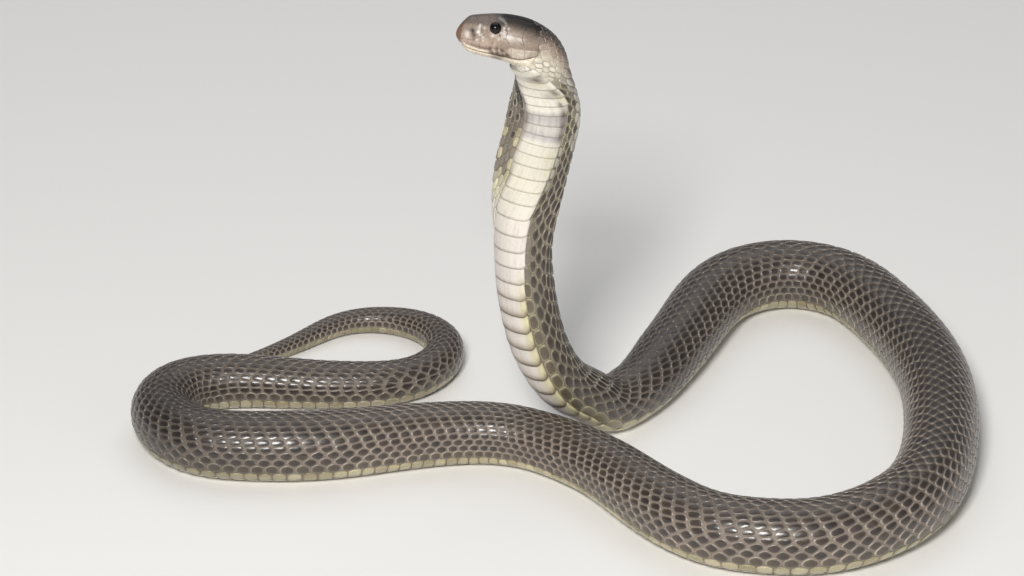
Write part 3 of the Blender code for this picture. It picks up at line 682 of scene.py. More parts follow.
def section(s, angle):
    """Side and height of the sections at distances s, for angles from the belly's middle."""
    sizes = np.stack([read(SECTIONS, s, k) for k in (1, 2, 3)], axis=1)
    sizes *= (rounded_end(s, SNOUT_ROUND) * rounded_end(LENGTH - s, TAIL_ROUND))[:, None]
    half_width, back, belly = (sizes[:, k : k + 1] for k in range(3))
    in_hood = smooth_step(s, *HOOD_OPENS) * (1 - smooth_step(s, *HOOD_CLOSES))
    in_head = 1 - smooth_step(s, *HEAD_FADES)
    shares = np.stack([np.ones_like(s), in_hood, in_head])
    belly_power, back_power, side_power = (
        (np.array(power) @ shares)[:, None] for power in (BELLY_POWER, BACK_POWER, SIDE_POWER)
    )
    floor = smooth_step(s, LANDING_START, LANDING_END)[:, None]
    down = np.cos(angle)[None, :]
    flat = np.minimum(1.0, np.maximum(down, 0.0) / (1 - floor * (1 - math.cos(FLAT_HALF_ANGLE))))
    level = -HEAD_LEVEL * in_head[:, None] * belly
    across = np.sin(angle)[None, :]
    side = half_width * np.sign(across) * np.abs(across) ** side_power
    below = level - (belly + level) * flat**belly_power
    above = level + (back - level) * np.maximum(-down, 0.0) ** back_power
    return side, np.where(down > 0, below, above)


def head_forms(points, centre):
    """Small swellings and hollows of the head, as moves away from the section's middle."""
    back, side, up = head_axes(points)
    moves = np.zeros(back.shape)
    for place, size, move in HEAD_FORMS:
        apart = (np.stack([back, np.abs(side), up], axis=-1) - place) / size
        moves += move * np.exp(-(apart**2).sum(axis=-1))
    in_mouth = smooth_step(back, *LIPS_BEGIN) * (1 - smooth_step(back, *LIPS_END))
    moves += in_mouth * LIP_RISE * bump_at(np.abs(mouth_gap(back, up)), LIP_MIDDLE, LIP_MIDDLE)
    return unit(points - centre) * moves[..., None]


class Surface:
    """The animal's outside as a table over distance s and share w, read between its rows."""

    COLUMNS = 256
    FINE = 720
    NEAR = (0.01, 0.03, 0.06, 0.1, 0.16, 0.24, 0.34, 0.46, 0.6, 0.8)
    FORMS_END = 60.0

    def __init__(self):
        ends = [LENGTH - 0.3, LENGTH - 0.1, LENGTH - 0.02]
        self.s = np.concatenate([self.NEAR, np.arange(1.0, LENGTH - 0.5, 0.5), ends])
        place, left, up, _ = MIDLINE.at(self.s)
        side, height = section(self.s, np.linspace(0, 2 * math.pi, self.FINE + 1))
        steps = np.hypot(np.diff(side, axis=1), np.diff(height, axis=1))
        run = np.concatenate([np.zeros((len(side), 1)), np.cumsum(steps, axis=1)], axis=1)
        run /= run[:, -1:]
        w = np.arange(self.COLUMNS) / self.COLUMNS
        side, height = (
            np.stack([np.interp(w, a, b) for a, b in zip(run, values)]) for values in (side, height)
        )
        points = place[:, None] + side[..., None] * left[:, None] + height[..., None] * up[:, None]
        head = self.s < self.FORMS_END
        points[head] += head_forms(points[head], place[head][:, None])
        points[..., 2] = np.maximum(points[..., 2], 0.0)
        along = np.gradient(points, self.s, axis=0)
        around = (np.roll(points, -1, axis=1) - np.roll(points, 1, axis=1)) * self.COLUMNS / 2
        normal = unit(np.cross(along, around))
        self.table = np.concatenate([points, normal, along, around], axis=2)
        self.points = points

    def at(self, s, w):
        """Places, outward directions, and how the surface goes with s and with w."""
        s = np.clip(s, self.s[0], self.s[-1])
        w = w + read(TURNS, s) * (s < TURNS[-1][0])
        i = np.clip(np.searchsorted(self.s, s) - 1, 0, len(self.s) - 2)
        a = ((s - self.s[i]) / (self.s[i + 1] - self.s[i]))[..., None]
        x = (w % 1.0) * self.COLUMNS
        j = x.astype(int) % self.COLUMNS
        k = (j + 1) % self.COLUMNS
        b = (x - np.floor(x))[..., None]
        low = self.table[i, j] * (1 - b) + self.table[i, k] * b
        high = self.table[i + 1, j] * (1 - b) + self.table[i + 1, k] * b
        found = low * (1 - a) + high * a
        return found[..., :3], unit(found[..., 3:6]), found[..., 6:9], found[..., 9:12]

    def one(self, s, w):
        """Place and change with w at a single distance and share."""
        place, _, _, around = self.at(np.array([s]), np.array([w % 1.0]))
        return place[0], around[0]


def scale_edges():
    """Distances at which one scale of a row ends and the next begins."""
    back = [EDGES_THROUGH]
    while back[-1] > EDGES_FROM:
        back.append(back[-1] - float(read(SCALE_LENGTHS, back[-1])))
    onward = [EDGES_THROUGH]
    while onward[-1] < LENGTH - EDGES_SHORT_OF_TIP:
        onward.append(onward[-1] + float(read(SCALE_LENGTHS, onward[-1])))
    return np.array(back[:0:-1] + onward)


def row_weights(s):
    """Width of every row of one side at distances s, as a table."""
    weights = []
    for width, (start, end), _ in ROWS:
        there = smooth_step(s, start, start + ROW_FADE) * (1 - smooth_step(s, end - ROW_FADE, end))
        weights.append((1 + (width - 1) * smooth_step(s, *ROWS_GROW)) * there)
    return np.stack(weights + [np.full_like(s, BACK_ROW[0] / 2)])


def belly_share(s):
    """Half width of the belly scutes at distances s, as a share of the way round."""
    return read(BELLY_SHARES, s)


def row_share(s, row):
    """Share of the way round of a row's middle at distances s, on the left side."""
    weights = row_weights(s)
    below = weights[:row].sum(axis=0) + (weights[row] / 2 if row < len(ROWS) else weights[row])
    return belly_share(s) + (0.5 - belly_share(s)) * below / weights.sum(axis=0)


def side_share(w):
    """Share of the way up from the belly's middle, alike on both sides."""
    w = w % 1.0
    return np.minimum(w, 1 - w)


def blend(a, b, share):
    """Colour between a and b, for an array of shares."""
    share = np.asarray(share, float)[..., None]
    return a * (1 - share) + b * share


def tone_at(value, table):
    """Colours at values, from a table of values and colours."""
    places = np.array([place for place, _ in table])
    tones = np.array([tone for _, tone in table])
    return np.stack([np.interp(value, places, tones[:, k]) for k in range(3)], axis=-1)


def unwrap(s, w, strip=None):
    """Place on the flat map of the skin."""
    strip = np.minimum(np.floor(s / STRIP_LENGTH), STRIPS - 1) if strip is None else strip
    across, along = STRIP_FILL
    u = (strip + (1 - across) / 2 + across * w) / STRIPS
    v = (1 - along) / 2 + along * (s - strip * STRIP_LENGTH) / STRIP_LENGTH
    return np.stack([u, v], axis=-1)


def build(name, points, faces, tint, uv, material):
    """Mesh object: points in millimetres, faces of equal width in each array, and its flat
    map by point or by corner."""
    mesh = bpy.data.meshes.new(name)
    corners = np.concatenate([part.ravel() for part in faces]).astype(np.int32)
    sizes = np.concatenate([np.full(len(part), part.shape[1]) for part in faces]).astype(np.int32)
    starts = np.concatenate([[0], np.cumsum(sizes)[:-1]]).astype(np.int32)
    mesh.vertices.add(len(points))
    mesh.vertices.foreach_set("co", (points * MM).astype(np.float32).ravel())
    mesh.loops.add(len(corners))
    mesh.loops.foreach_set("vertex_index", corners)
    mesh.polygons.add(len(sizes))
    mesh.polygons.foreach_set("loop_start", starts)
    mesh.polygons.foreach_set("loop_total", sizes)
    mesh.update(calc_edges=True)
    mesh.polygons.foreach_set("use_smooth", np.ones(len(sizes), bool))
    uv = uv[corners] if len(uv) == len(points) else uv
    mesh.uv_layers.new(name="OFBake").data.foreach_set("uv", uv.astype(np.float32).ravel())
    colours = mesh.color_attributes.new("tint", "FLOAT_COLOR", "POINT")
    rgba = np.concatenate([tint, np.ones((len(tint), 1))], axis=1)
    colours.data.foreach_set("color", rgba.astype(np.float32).ravel())
    mesh.materials.append(material)
    made = bpy.data.objects.new(name, mesh)
    bpy.context.scene.collection.objects.link(made)
    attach(made, "root")
    return made


class Joined:
    """Plates that are gathered into one mesh."""

    def __init__(self):
        self.points, self.tints, self.uvs, self.faces = [], [], [], []
        self.count = 0

    def add(self, points, tint, uv, faces):
        """Adds a plate, whose faces number its own points from 0."""
        self.faces += [part + self.count for part in faces]
        self.points.append(points)
        self.tints.append(tint)
        self.uvs.append(uv)
        self.count += len(points)

    def build(self, name, material):
        """Makes the mesh, with its four-sided faces first, then its triangles, then the rest."""
        faces = [np.concatenate([f for f in self.faces if f.shape[1] == n]) for n in (4, 3)]
        faces += [f for f in self.faces if f.shape[1] > 4]
        points, tint, uv = (np.concatenate(rows) for rows in (self.points, self.tints, self.uvs))
        return build(name, points, faces, tint, uv, material)


def tube(rows, sides):
    """Numbers of the points of a tube of rings, and its faces."""
    index = np.arange(rows * sides).reshape(rows, sides)
    after = np.roll(index, -1, axis=1)
    return index, np.stack([index[:-1], index[1:], after[1:], after[:-1]], axis=-1).reshape(-1, 4)


def skin_depth(s, places):
    """How far the skin lies inside the outer surface."""
    depth = read(SKIN_DEPTHS, s)
    near = s < 45.0
    back, _, up = head_axes(places)
    groove = bump_at(mouth_gap(back, up), 0.0, 0.3) * (1 - smooth_step(back, 27.0, 31.0))
    for centre, reach, more in SKIN_PITS:
        apart = np.sqrt((back - centre[0]) ** 2 + (up - centre[2]) ** 2)
        depth = depth + near * more * (1 - smooth_step(apart, 0.6 * reach, 1.1 * reach))
    return depth + near * 0.5 * groove


def skin_object(surface, material):
    """One closed skin from the snout to the tip of the tail."""
    head = np.arange(1.0, STEPS_CHANGE, HEAD_STEP)
    body = np.arange(STEPS_CHANGE, LENGTH - 1.0, BODY_STEP)
    s = np.concatenate([SKIN_FIRST, head, body, [LENGTH - 0.8, LENGTH - 0.4, LENGTH - 0.1]])
    w = np.arange(SKIN_SIDES) / SKIN_SIDES
    grid_s, grid_w = np.meshgrid(s, w, indexing="ij")
    place, normal, _, _ = surface.at(grid_s, grid_w)
    points = place - normal * skin_depth(grid_s, place)[..., None]
    points[..., 2] = np.maximum(points[..., 2], SKIN_LOWEST)
    tint = skin_tint(grid_s, grid_w, place)
    index, quads = tube(len(s), SKIN_SIDES)
    strip = np.minimum(np.floor(grid_s[:-1] / STRIP_LENGTH), STRIPS - 1)
    here = grid_w[:-1]
    corners = ((grid_s[:-1], 0), (grid_s[1:], 0), (grid_s[1:], 1), (grid_s[:-1], 1))
    maps = [unwrap(at, here + step / SKIN_SIDES, strip) for at, step in corners]
    ends = [unwrap(np.full(SKIN_SIDES, s[k]), w) for k in (0, -1)]
    uv = np.concatenate([np.stack(maps, axis=2).reshape(-1, 2), *ends])
    faces = [quads, index[:1], index[-1:, ::-1]]
    return build("skin", points.reshape(-1, 3), faces, tint.reshape(-1, 3), uv, material)


def painted(tint, *layers):
    """A colour with others laid over it in turn, each given as a colour and its share."""
    for colour, share in layers:
        tint = blend(tint, colour, share)
    return tint


def both(middle, rim, middle_tone, rim_tone, share):
    """Middle and rim colours of scales, each blended with its own tone by one share."""
    return blend(middle, middle_tone, share), blend(rim, rim_tone, share)


def raised_share(s):
    """1 in the raised part, 0 in the trunk."""
    return 1 - smooth_step(s, *RAISED_FADES)


def neck_share(s):
    """1 in the neck, 0 in the hood."""
    return 1 - smooth_step(s, *NECK_FADES)


def neck_tone(share, low, high):
    """Colours of the neck by share of the way up, with their light below and above."""
    return tone_at(share, NECK_TONES) * np.interp(share, (0.22, 0.34), (low, high))[..., None]


def trunk_colours(row, draw):
    """Middle and rim colours of scales of the trunk: dark ovals, and a pale row by the belly, with
    the rims darker up the back as painted shade.
    """
    middle = blend(DARK_SCALE, WARM_SCALE, draw[0])
    # Painted shade of the back: the rims grow darker in the upper rows.
    rim = blend(GREY_RIM, GREY_RIM * 0.68, smooth_step(row, 6.0, 11.0))
    second = bump_at(row, 1.0, ROW_SPREAD)
    middle = blend(middle, LOW_SCALE, 0.30 * second)
    rim = blend(rim, ROW_CREAM, 0.10 * second)
    pale_row = blend(ROW_CREAM, ROW_OLIVE, draw[1])
    return both(middle, rim, pale_row, pale_row * 0.86, bump_at(row, 0.0, ROW_SPREAD))


def flank_colours(s, row, draw, middle, rim):
    """Colours of the raised part: dark ovals with thin pale rims, and its own first row."""
    raised = raised_share(s)
    low = 1 - smooth_step(row, 3.0, 8.0)
    first = bump_at(row, 0.0, ROW_SPREAD) * raised
    olive = first * smooth_step(s, *OLIVE_BEGINS)
    middle = painted(
        middle,
        (HOOD_DARK, 0.85 * raised * low),
        (tone_at(s, FIRST_ROW), 0.92 * first),
        (ROW_OLIVE, 0.22 * draw[1] * olive),
    )
    rim = painted(
        rim,
        (FLANK_LINE, 0.8 * raised * (1 - low)),
        (FLANK_RIM, 0.9 * raised * low),
        (YELLOW_LINE, 0.55 * olive),
    )
    return middle, rim


def hood_colours(s, w, row, draw, middle, rim):
    """Colours of the hood: its pale edge on the left, mottled on the right, creamy below, and
    painted shadow in the cleft beside the throat.
    """
    share = side_share(w)
    left = w % 1.0 < 0.5
    right = 1 - left
    line = read(EDGE_LINE, s)
    edge = 0.85 * left * bump_at(share, line, 0.036) * between(s, 33.0, 64.0, 4.0)
    rim = blend(rim, YELLOW_LINE, 0.8 * left * (share < line) * between(s, 37.0, 64.0, 3.0))
    middle = blend(middle, EDGE_GREY, edge * (draw[1] > 0.18))
    rim = blend(rim, EDGE_GREY * 0.85, edge)
    oval = draw[2] < 0.30
    wing = 0.9 * right * between(s, 40.0, 82.0, 3.0) * (1 - smooth_step(row, 7.0, 10.0))
    plain = blend(WING_BROWN, HOOD_GREY, draw[1])
    wing_middle = painted(plain, (WING_RIM, 0.45 * smooth_step(s, 56.0, 72.0)), (WING_OVAL, oval))
    wing_rim = blend(WING_BROWN, WING_RIM, 0.40 + 0.50 * oval)
    middle, rim = both(middle, rim, wing_middle, wing_rim, wing)
    patch = (draw[2] > 0.74) * right * between(s, 60.0, 84.0, 2.0) * (row < 5)
    middle = blend(middle, PALE_YELLOW, 0.55 * patch)
    rim = blend(rim, PALE_YELLOW, 0.60 * patch)
    # Painted shadow in the cleft between the throat and the wing.
    cleft_shadow = 0.9 * right * (row < 1.5) * between(s, 33.0, 48.0, 2.0)
    middle, rim = both(middle, rim, CLEFT_SHADOW, CLEFT_SHADOW, cleft_shadow)
    creamy = 0.92 * right * between(s, *CREAMY_WING) * (row < 3.5)
    light = blend(CREAM, PALE_YELLOW, 0.7 * bump_at(s, 83.0, 4.0))
    return both(middle, rim, light, light * 0.92, creamy)


def scale_colours(s, w, row, draw):
    """Middle and rim colours of scales at distance s, share w and in a row, with random draws."""
    share = side_share(w)
    # Painted light and shade along the trunk, by distance from the snout.
    light = read(PAINTED_LIGHT_ALONG, s)[:, None]
    middle, rim = (tone * light for tone in trunk_colours(row, draw))
    middle, rim = flank_colours(s, row, draw, middle, rim)
    middle, rim = hood_colours(s, w, row, draw, middle, rim)
    tones = (neck_tone(share, 1.0, 1.0), neck_tone(share, 0.80, 1.9))
    middle, rim = both(middle, rim, *tones, 0.92 * neck_share(s))
    middle, rim = both(middle, rim, CREAM, CREAM * 0.85, row < 0)
    return blend(middle, WARM_SCALE, 0.4 * smooth_step(s, *TAIL_FADES)), rim


def skin_tint(s, w, places):
    """Colour of the skin between the scales, with painted shade up the back, painted light and
    shade along the trunk, and painted shadow in the cleft beside the throat.
    """
    share = side_share(w)
    belly = belly_share(s)
    up = (share - belly) / (0.5 - belly)
    right = w % 1.0 >= 0.5
    tint = blend(SEAM_BROWN, NET, smooth_step(up, 0.02, 0.16))
    # Painted shade: the skin is darker up the back, and is then lit or shaded along the trunk by
    # the painted light.
    tint = blend(tint, NET * 0.62, smooth_step(up, 0.50, 0.85)) * read(PAINTED_LIGHT_ALONG, s)[..., None]
    head = (1 - smooth_step(s, 25.0, 29.0)) * (head_axes(places)[0] < 34.0)
    return painted(
        tint,
        (FLANK_RIM, 0.9 * raised_share(s) * (1 - smooth_step(up, 0.25, 0.7))),
        (CREAM * 0.6, 1 - smooth_step(up, -0.2, 0.0)),
        (CREAM * 0.8, right * between(s, *CREAMY_WING) * (1 - smooth_step(up, 0.25, 0.35))),
        # Painted shadow in the cleft beside the throat.
        (CLEFT_SHADOW, bump_at(w % 1.0, 0.850, 0.024) * between(s, 34.0, 52.0, 3.0)),
        (neck_tone(share, 0.70, 1.5), 0.9 * neck_share(s)),
        (head_colour(places) * 0.72, head),
    )


def head_colour(points):
    """Colour of the head by place: tan sides, dark crown, pale and mottled lips, with painted
    highlights and sheen, and painted shade in the nostril and under the jaw.
    """
    back, side, up = head_axes(points)
    gap = mouth_gap(back, up)
    out = np.abs(side)
    rear = smooth_step(back, 12.0, 18.0)
    behind = np.maximum(back - 19.0, 0.0)
    crown = smooth_step(up, 3.8 - 1.0 * rear - 0.10 * behind, 5.3 + 2.3 * rear - 0.20 * behind)
    brow = bump_at(back, 15.2, 1.6) * bump_at(up, 7.2, 0.9) * bump_at(out, 5.0, 1.3)
    front_lip = between(back, 2.6, 11.6, 0.8)
    fold = bump_at(gap, 1.9, 0.45) * smooth_step(back, 3.0, 7.0)
    rear_lip = smooth_step(back, 17.6, 19.2) * (1 - smooth_step(up, -2.6, -1.9))
    marks = [
        (tone, strength * bump_at(back, x, spread) * bump_at(up, z, spread) * (gap > 0))
        for x, z, spread, tone, strength in HEAD_MARKS
    ]
    front = 1 - smooth_step(back + 0.35 * out, 2.4, 3.6)
    # Painted shade under the jaw, in the lips' brown.
    shaded = 0.85 * bump_at(back, 14.8, 2.6) * (1 - smooth_step(-gap, 0.8, 2.4))
    jaw = painted(LIP_WHITE, (JAW_WHITE, smooth_step(-gap, 0.5, 3.0)), (LIP_BROWN_AND_JAW_SHADE, shaded))
    return painted(
        HEAD_TAN,
        (HEAD_PINK, bump_at(up, -0.8, 2.2) * (1 - smooth_step(back, 13.0, 18.0))),
        (HEAD_TAN * 0.72, smooth_step(back, 21.0, 28.0) * smooth_step(up, 0.0, 2.5)),
        (blend(SNOUT_TOP, CROWN, smooth_step(back, 11.5, 17.0)), crown),
        # Painted sheen on the brows.
        (CROWN_SHEEN, 0.6 * brow),
        (LIP_LINE, 0.75 * front_lip * fold),
        (LIP_WHITE, 0.95 * front_lip * (1 - smooth_step(gap, 1.0, 1.5))),
        (LIP_PALE, 0.9 * rear_lip),
        (LIP_WHITE, 0.6 * bump_at(up, -2.1, 0.28) * between(back, 19.0, 29.0, 1.0)),
        # Marks, among them painted highlights and the painted shade of the nostril.
        *marks,
        (ROSTRAL_BROWN, 0.9 * front * smooth_step(gap, 0.3, 1.0)),
        (CROWN, 0.5 * front * smooth_step(up, 1.5, 4.5)),
        (jaw, 1 - smooth_step(gap, -0.15, 0.15)),
    )


class Scales:
    """All the small scales: where each lies, and the shape that its neighbours leave it."""

    NEIGHBOURS = 2.3
    MOST_REACH = 0.75

    def __init__(self, surface, draws):
        self.edges = scale_edges()
        rows = [self.row_places(row) for row in range(len(ROWS) + 1)]
        rows += [self.neck_places(), self.gular_places()]
        self.s, self.w, self.row = (np.concatenate([r[k] for r in rows]) for k in range(3))
        self.keep((self.s > read(SCALES_BEGIN, side_share(self.w))) & (self.s < LENGTH - BARE_TIP))
        self.keep(np.argsort(self.s, kind="stable"))
        tight = np.linalg.norm(surface.at(self.s, self.w)[2], axis=1) < LEAST_STRETCH
        self.keep(~(tight & (self.s < NECK_END)))
        small = (self.s < SMALL_END) & (self.row >= 0)
        self.length = np.where(small, NECK_LENGTH, read(SCALE_LENGTHS, self.s))
        moves = draws.random((2, len(self.s))) - 0.5
        inner = (self.row > 0.5) & (self.row < len(ROWS))
        self.s = self.s + JITTER[0] * self.length * moves[0]
        self.w = self.w + JITTER[1] * inner * moves[1]
        _, _, along, around = surface.at(self.s, self.w)
        self.per_s = np.linalg.norm(along, axis=1)
        self.per_w = np.linalg.norm(around, axis=1)
        self.lane = np.where(self.row < 0, 1.0, read(LANES, self.s))

    def keep(self, chosen):
        """Keeps the scales that are chosen, in the order of the choice."""
        self.s, self.w, self.row = self.s[chosen], self.w[chosen], self.row[chosen]

    def row_places(self, row):
        """Distances and shares of one row's scales on both sides, or of the row of the back."""
        on_back = row == len(ROWS)
        shift = sum([back for _, _, back in ROWS][: row + 1]) + (BACK_ROW[1] if on_back else 0.0)
        number = np.arange(len(self.edges) - 1)
        s = np.interp(number + shift % 1.0, np.arange(len(self.edges)), self.edges)
        s = s[s > ROWS_START]
        if on_back:
            w = np.full_like(s, 0.5)
        else:
            s = s[row_weights(s)[row] > ROW_THERE]
            w = row_share(s, row)
            s, w = np.concatenate([s, s]), np.concatenate([w, 1 - w])
        return s, w, np.full(len(s), float(row))

    def neck_places(self):
        """Small scales of the nape and of the sides of the neck."""
        found = []
        for row in range(NECK_ROWS + 1):
            number = row * len(ROWS) / NECK_ROWS
            for s in np.arange(NECK_START + NECK_LENGTH / 2 * (row % 2), NECK_END, NECK_LENGTH):
                low = float(belly_share(s))
                w = low + (0.5 - low) * (row + 0.5) / (NECK_ROWS + 0.5)
                shares = (w, 1 - w) if row < NECK_ROWS else (0.5,)
                found += [(s, share, number) for share in shares]
        return np.array(found).T

    def gular_places(self):
        """Small scales of the throat, in front of the belly scutes."""
        found = []
        for s, count in GULARS:
            reach = 0.86 * belly_share(s)
            found += [(s, w % 1.0, -1.0) for w in np.linspace(-reach, reach, count)]
        return np.array(found).T

    def neighbours(self, number):
        """Places of the scales near one, in its own plane."""
        reach = self.NEIGHBOURS * self.length[number]
        near = np.abs(self.s - self.s[number]) < reach
        near[number] = False
        turn = (self.w[near] - self.w[number] + 0.5) % 1.0 - 0.5
        x = (self.s[near] - self.s[number]) * (self.per_s[near] + self.per_s[number]) / 2
        y = turn * (self.per_w[near] + self.per_w[number]) / 2
        return np.stack([x, y], axis=1)[np.hypot(x, y) < reach]

    def borders(self, number):
        """Lines that a scale doesn't cross, as neighbours at twice their distance."""
        found = []
        s, w, row = self.s[number], self.w[number], self.row[number]
        per_w, per_s = self.per_w[number], self.per_s[number]
        share = side_share(w)
        left = 1.0 if w % 1.0 < 0.5 else -1.0
        if row == 0:
            found.append((0.0, -left * 2 * (share - belly_share(s)) * per_w))
        ahead = s - read(SCALES_BEGIN, share) + 0.5 * self.length[number]
        if ahead < 1.6 * self.length[number]:
            found.append((-2 * max(ahead, 0.3) * per_s, 0.0))
        if row < 0:
            found.append((2 * (SCUTES_BEGIN - s) * per_s, 0.0))
        return np.array(found).reshape(-1, 2)

    def reach(self, number, angles):
        """How far the scale reaches in each direction of its own plane."""
        x, y = np.concatenate([self.neighbours(number), self.borders(number)]).T
        y = y * self.lane[number]
        half = np.maximum(np.hypot(x, y) / 2, 0.2)
        facing = np.maximum(np.cos(angles[:, None] - np.arctan2(y, x)[None, :]), 0.0)
        total = np.maximum(((facing / half) ** ROUNDING).sum(axis=1), TINY)
        return np.minimum(total ** (-1 / ROUNDING), self.MOST_REACH * self.length[number])


def plate_faces(count, rings, sides):
    """Faces of a number of closed plates, each of rings of sides with a middle point."""
    ring, quads = tube(rings, sides)
    after = np.roll(ring, -1, axis=1)
    quads = quads[:, [0, 3, 2, 1]]
    middle = np.stack([ring[-1], after[-1], np.full(sides, rings * sides)], axis=-1)
    bottom = ring[:1, ::-1]
    start = (np.arange(count) * (rings * sides + 1))[:, None, None]
    return [(part + start).reshape(-1, part.shape[1]) for part in (quads, middle, bottom)]


def scale_objects(surface, material, draws):
    """The coat of small scales, in a few joined meshes."""
    scales = Scales(surface, draws)
    count = len(scales.s)
    angles = np.arange(SCALE_SIDES) * 2 * math.pi / SCALE_SIDES
    reach = np.stack([scales.reach(k, angles) for k in range(count)])
    per_s, per_w, lane = (row[:, None] for row in (scales.per_s, scales.per_w, scales.lane))
    fore_and_aft = reach[:, [0, SCALE_SIDES // 2]].mean(axis=1)[:, None]
    size = np.clip(fore_and_aft / FULL_REACH, LEAST_SIZE, 1.0)
    x = reach * np.cos(angles)
    y = reach * np.sin(angles) / lane
    within = np.maximum(1 - GAPE * size / np.hypot(x, y), LEAST_WITHIN)
    x *= within * np.minimum(1.0, MOST_STRETCH / np.maximum(per_s, 0.2))
    y *= within
    share, level, tilt, rim_share, rear_share = np.array(SCALE_RINGS).T[..., None]
    s = scales.s[:, None, None] + x[:, None] * share / per_s[..., None]
    w = scales.w[:, None, None] + y[:, None] * share / per_w[..., None]
    height = (level + tilt * np.cos(angles)) * size[..., None] - SINK
    place, normal, _, _ = surface.at(s, w)
    points = place + normal * height[..., None]
    points[..., 2] = np.maximum(points[..., 2], 0.0)
    middle, rim = scale_colours(scales.s, scales.w, scales.row, draws.random((3, count)))
    middle = middle * (1 + MIDDLE_CHANCE * (draws.random(count) - 0.5))[:, None]
    rim = rim * (1 + RIM_CHANCE * (draws.random(count) - 0.5))[:, None]
    of_rim = np.broadcast_to(rim_share + rear_share * np.cos(angles), s.shape)
    tint = blend(middle[:, None, None], rim[:, None, None], of_rim)
    root = unwrap(scales.s - 0.4 * scales.length, scales.w % 1.0)
    circle = np.stack([np.sin(angles), np.cos(angles)], axis=-1)
    uv = root[:, None, None] + PATCH * share[..., None] * circle
    rings = len(SCALE_RINGS) - 1
    used = rings * SCALE_SIDES + 1
    columns = [rows.reshape(count, -1, rows.shape[-1])[:, :used] for rows in (points, tint, uv)]
    most = MOST_TRIANGLES // (2 * rings * SCALE_SIDES - 2)
    pieces = []
    for number, first in enumerate(range(0, count, most), 1):
        here = [rows[first : first + most] for rows in columns]
        faces = plate_faces(len(here[0]), rings, SCALE_SIDES)
        points, tint, uv = (rows.reshape(-1, rows.shape[-1]) for rows in here)
        pieces.append(build(f"scales_{number}", points, faces, tint, uv, material))
    return pieces


def scute_tint(s, w, along, streak):
    """Colour of the belly scutes: creamy, with a grey band under the hood and yellow ends, and
    brownish painted shadow where each scute's rear overlaps the next.
    """
    turn = (w + 0.5) % 1.0 - 0.5
    share = np.abs(turn) / belly_share(s)
    band = smooth_step(s, 50.0, 51.2) * (1 - smooth_step(s, 60.5, 63.5))
    grey = 0.40 + 0.30 * bump_at(s, 53.0, 1.8) + 0.25 * bump_at(s, 60.0, 1.6) + 0.35 * streak
    low = between(s, 116.0, 196.0, 10.0)
    ends = smooth_step(share * np.where(turn > 0, 1.0, 0.75), 0.50, 0.85)
    olive = bump_at(share, 0.94, 0.09) * bump_at(along, 0.92, 0.25)
    # Stretch of the body where the scutes' overlaps get painted shadow.
    shaded = between(s, 118.0, 186.0, 10.0)
    marks = [
        (tone, strength * bump_at(s, mark_s, spread_s) * bump_at(turn, mark_w, spread_w))
        for mark_s, mark_w, spread_s, spread_w, tone, strength in BELLY_MARKS
    ]
    colour = painted(
        CREAM,
        (FLOOR_CREAM, smooth_step(s, 185.0, 230.0)),
        (PALE_YELLOW, 0.18 * bump_at(s, 76.0, 10.0) + 0.10 * bump_at(s, 100.0, 10.0)),
        (LAVENDER, band * grey),
        (BELLY_PINK, 0.8 * between(s, 92.0, 190.0, 12.0)),
        (PALE_YELLOW, 0.85 * ends * low),
        (OLIVE, 0.75 * low * olive),
        # Painted shadow, brownish, at the rear of each scute and faintly at the front of the next.
        (SCUTE_SHADOW_BROWN, 0.75 * smooth_step(along, 0.55, 0.95) * shaded),
        (SCUTE_SHADOW_BROWN, 0.25 * (1 - smooth_step(along, 0.02, 0.35)) * shaded),
        *marks,
    )
    seam = 0.40 * smooth_step(along, 0.88, 1.0) + 0.12 * (1 - smooth_step(along, 0.0, 0.08))
    return painted(
        colour * (1 - 0.15 * streak)[..., None],
        (TAIL_GREY, 0.6 * smooth_step(s, VENT - 60, VENT + 40)),
        (SEAM_BROWN, seam * (0.50 + 0.50 * smooth_step(s, 84.0, 110.0))),
    )


def scute_grid(start, end, low, high, rise):
    """One plate over a stretch of the belly, between shares low and high of the way round."""
    rows, cols = SCUTE_GRID
    v, h = np.meshgrid(np.linspace(0, 1, rows), np.linspace(-1, 1, cols), indexing="ij")
    corner = np.clip((np.abs(h) - 0.72) / 0.28, 0, 1) ** 2
    s = start + (end - start) * (v * (1 - 0.20 * corner) + 0.06 * corner)
    w = (low + high) / 2 + (high - low) / 2 * h
    ends = smooth_step(np.abs(h), 0.86, 1.0)
    height = rise[0] + (rise[1] - rise[0]) * v - 0.22 * ends - 0.12 * smooth_step(v, 0.93, 1.0)
    return s, w, height, v


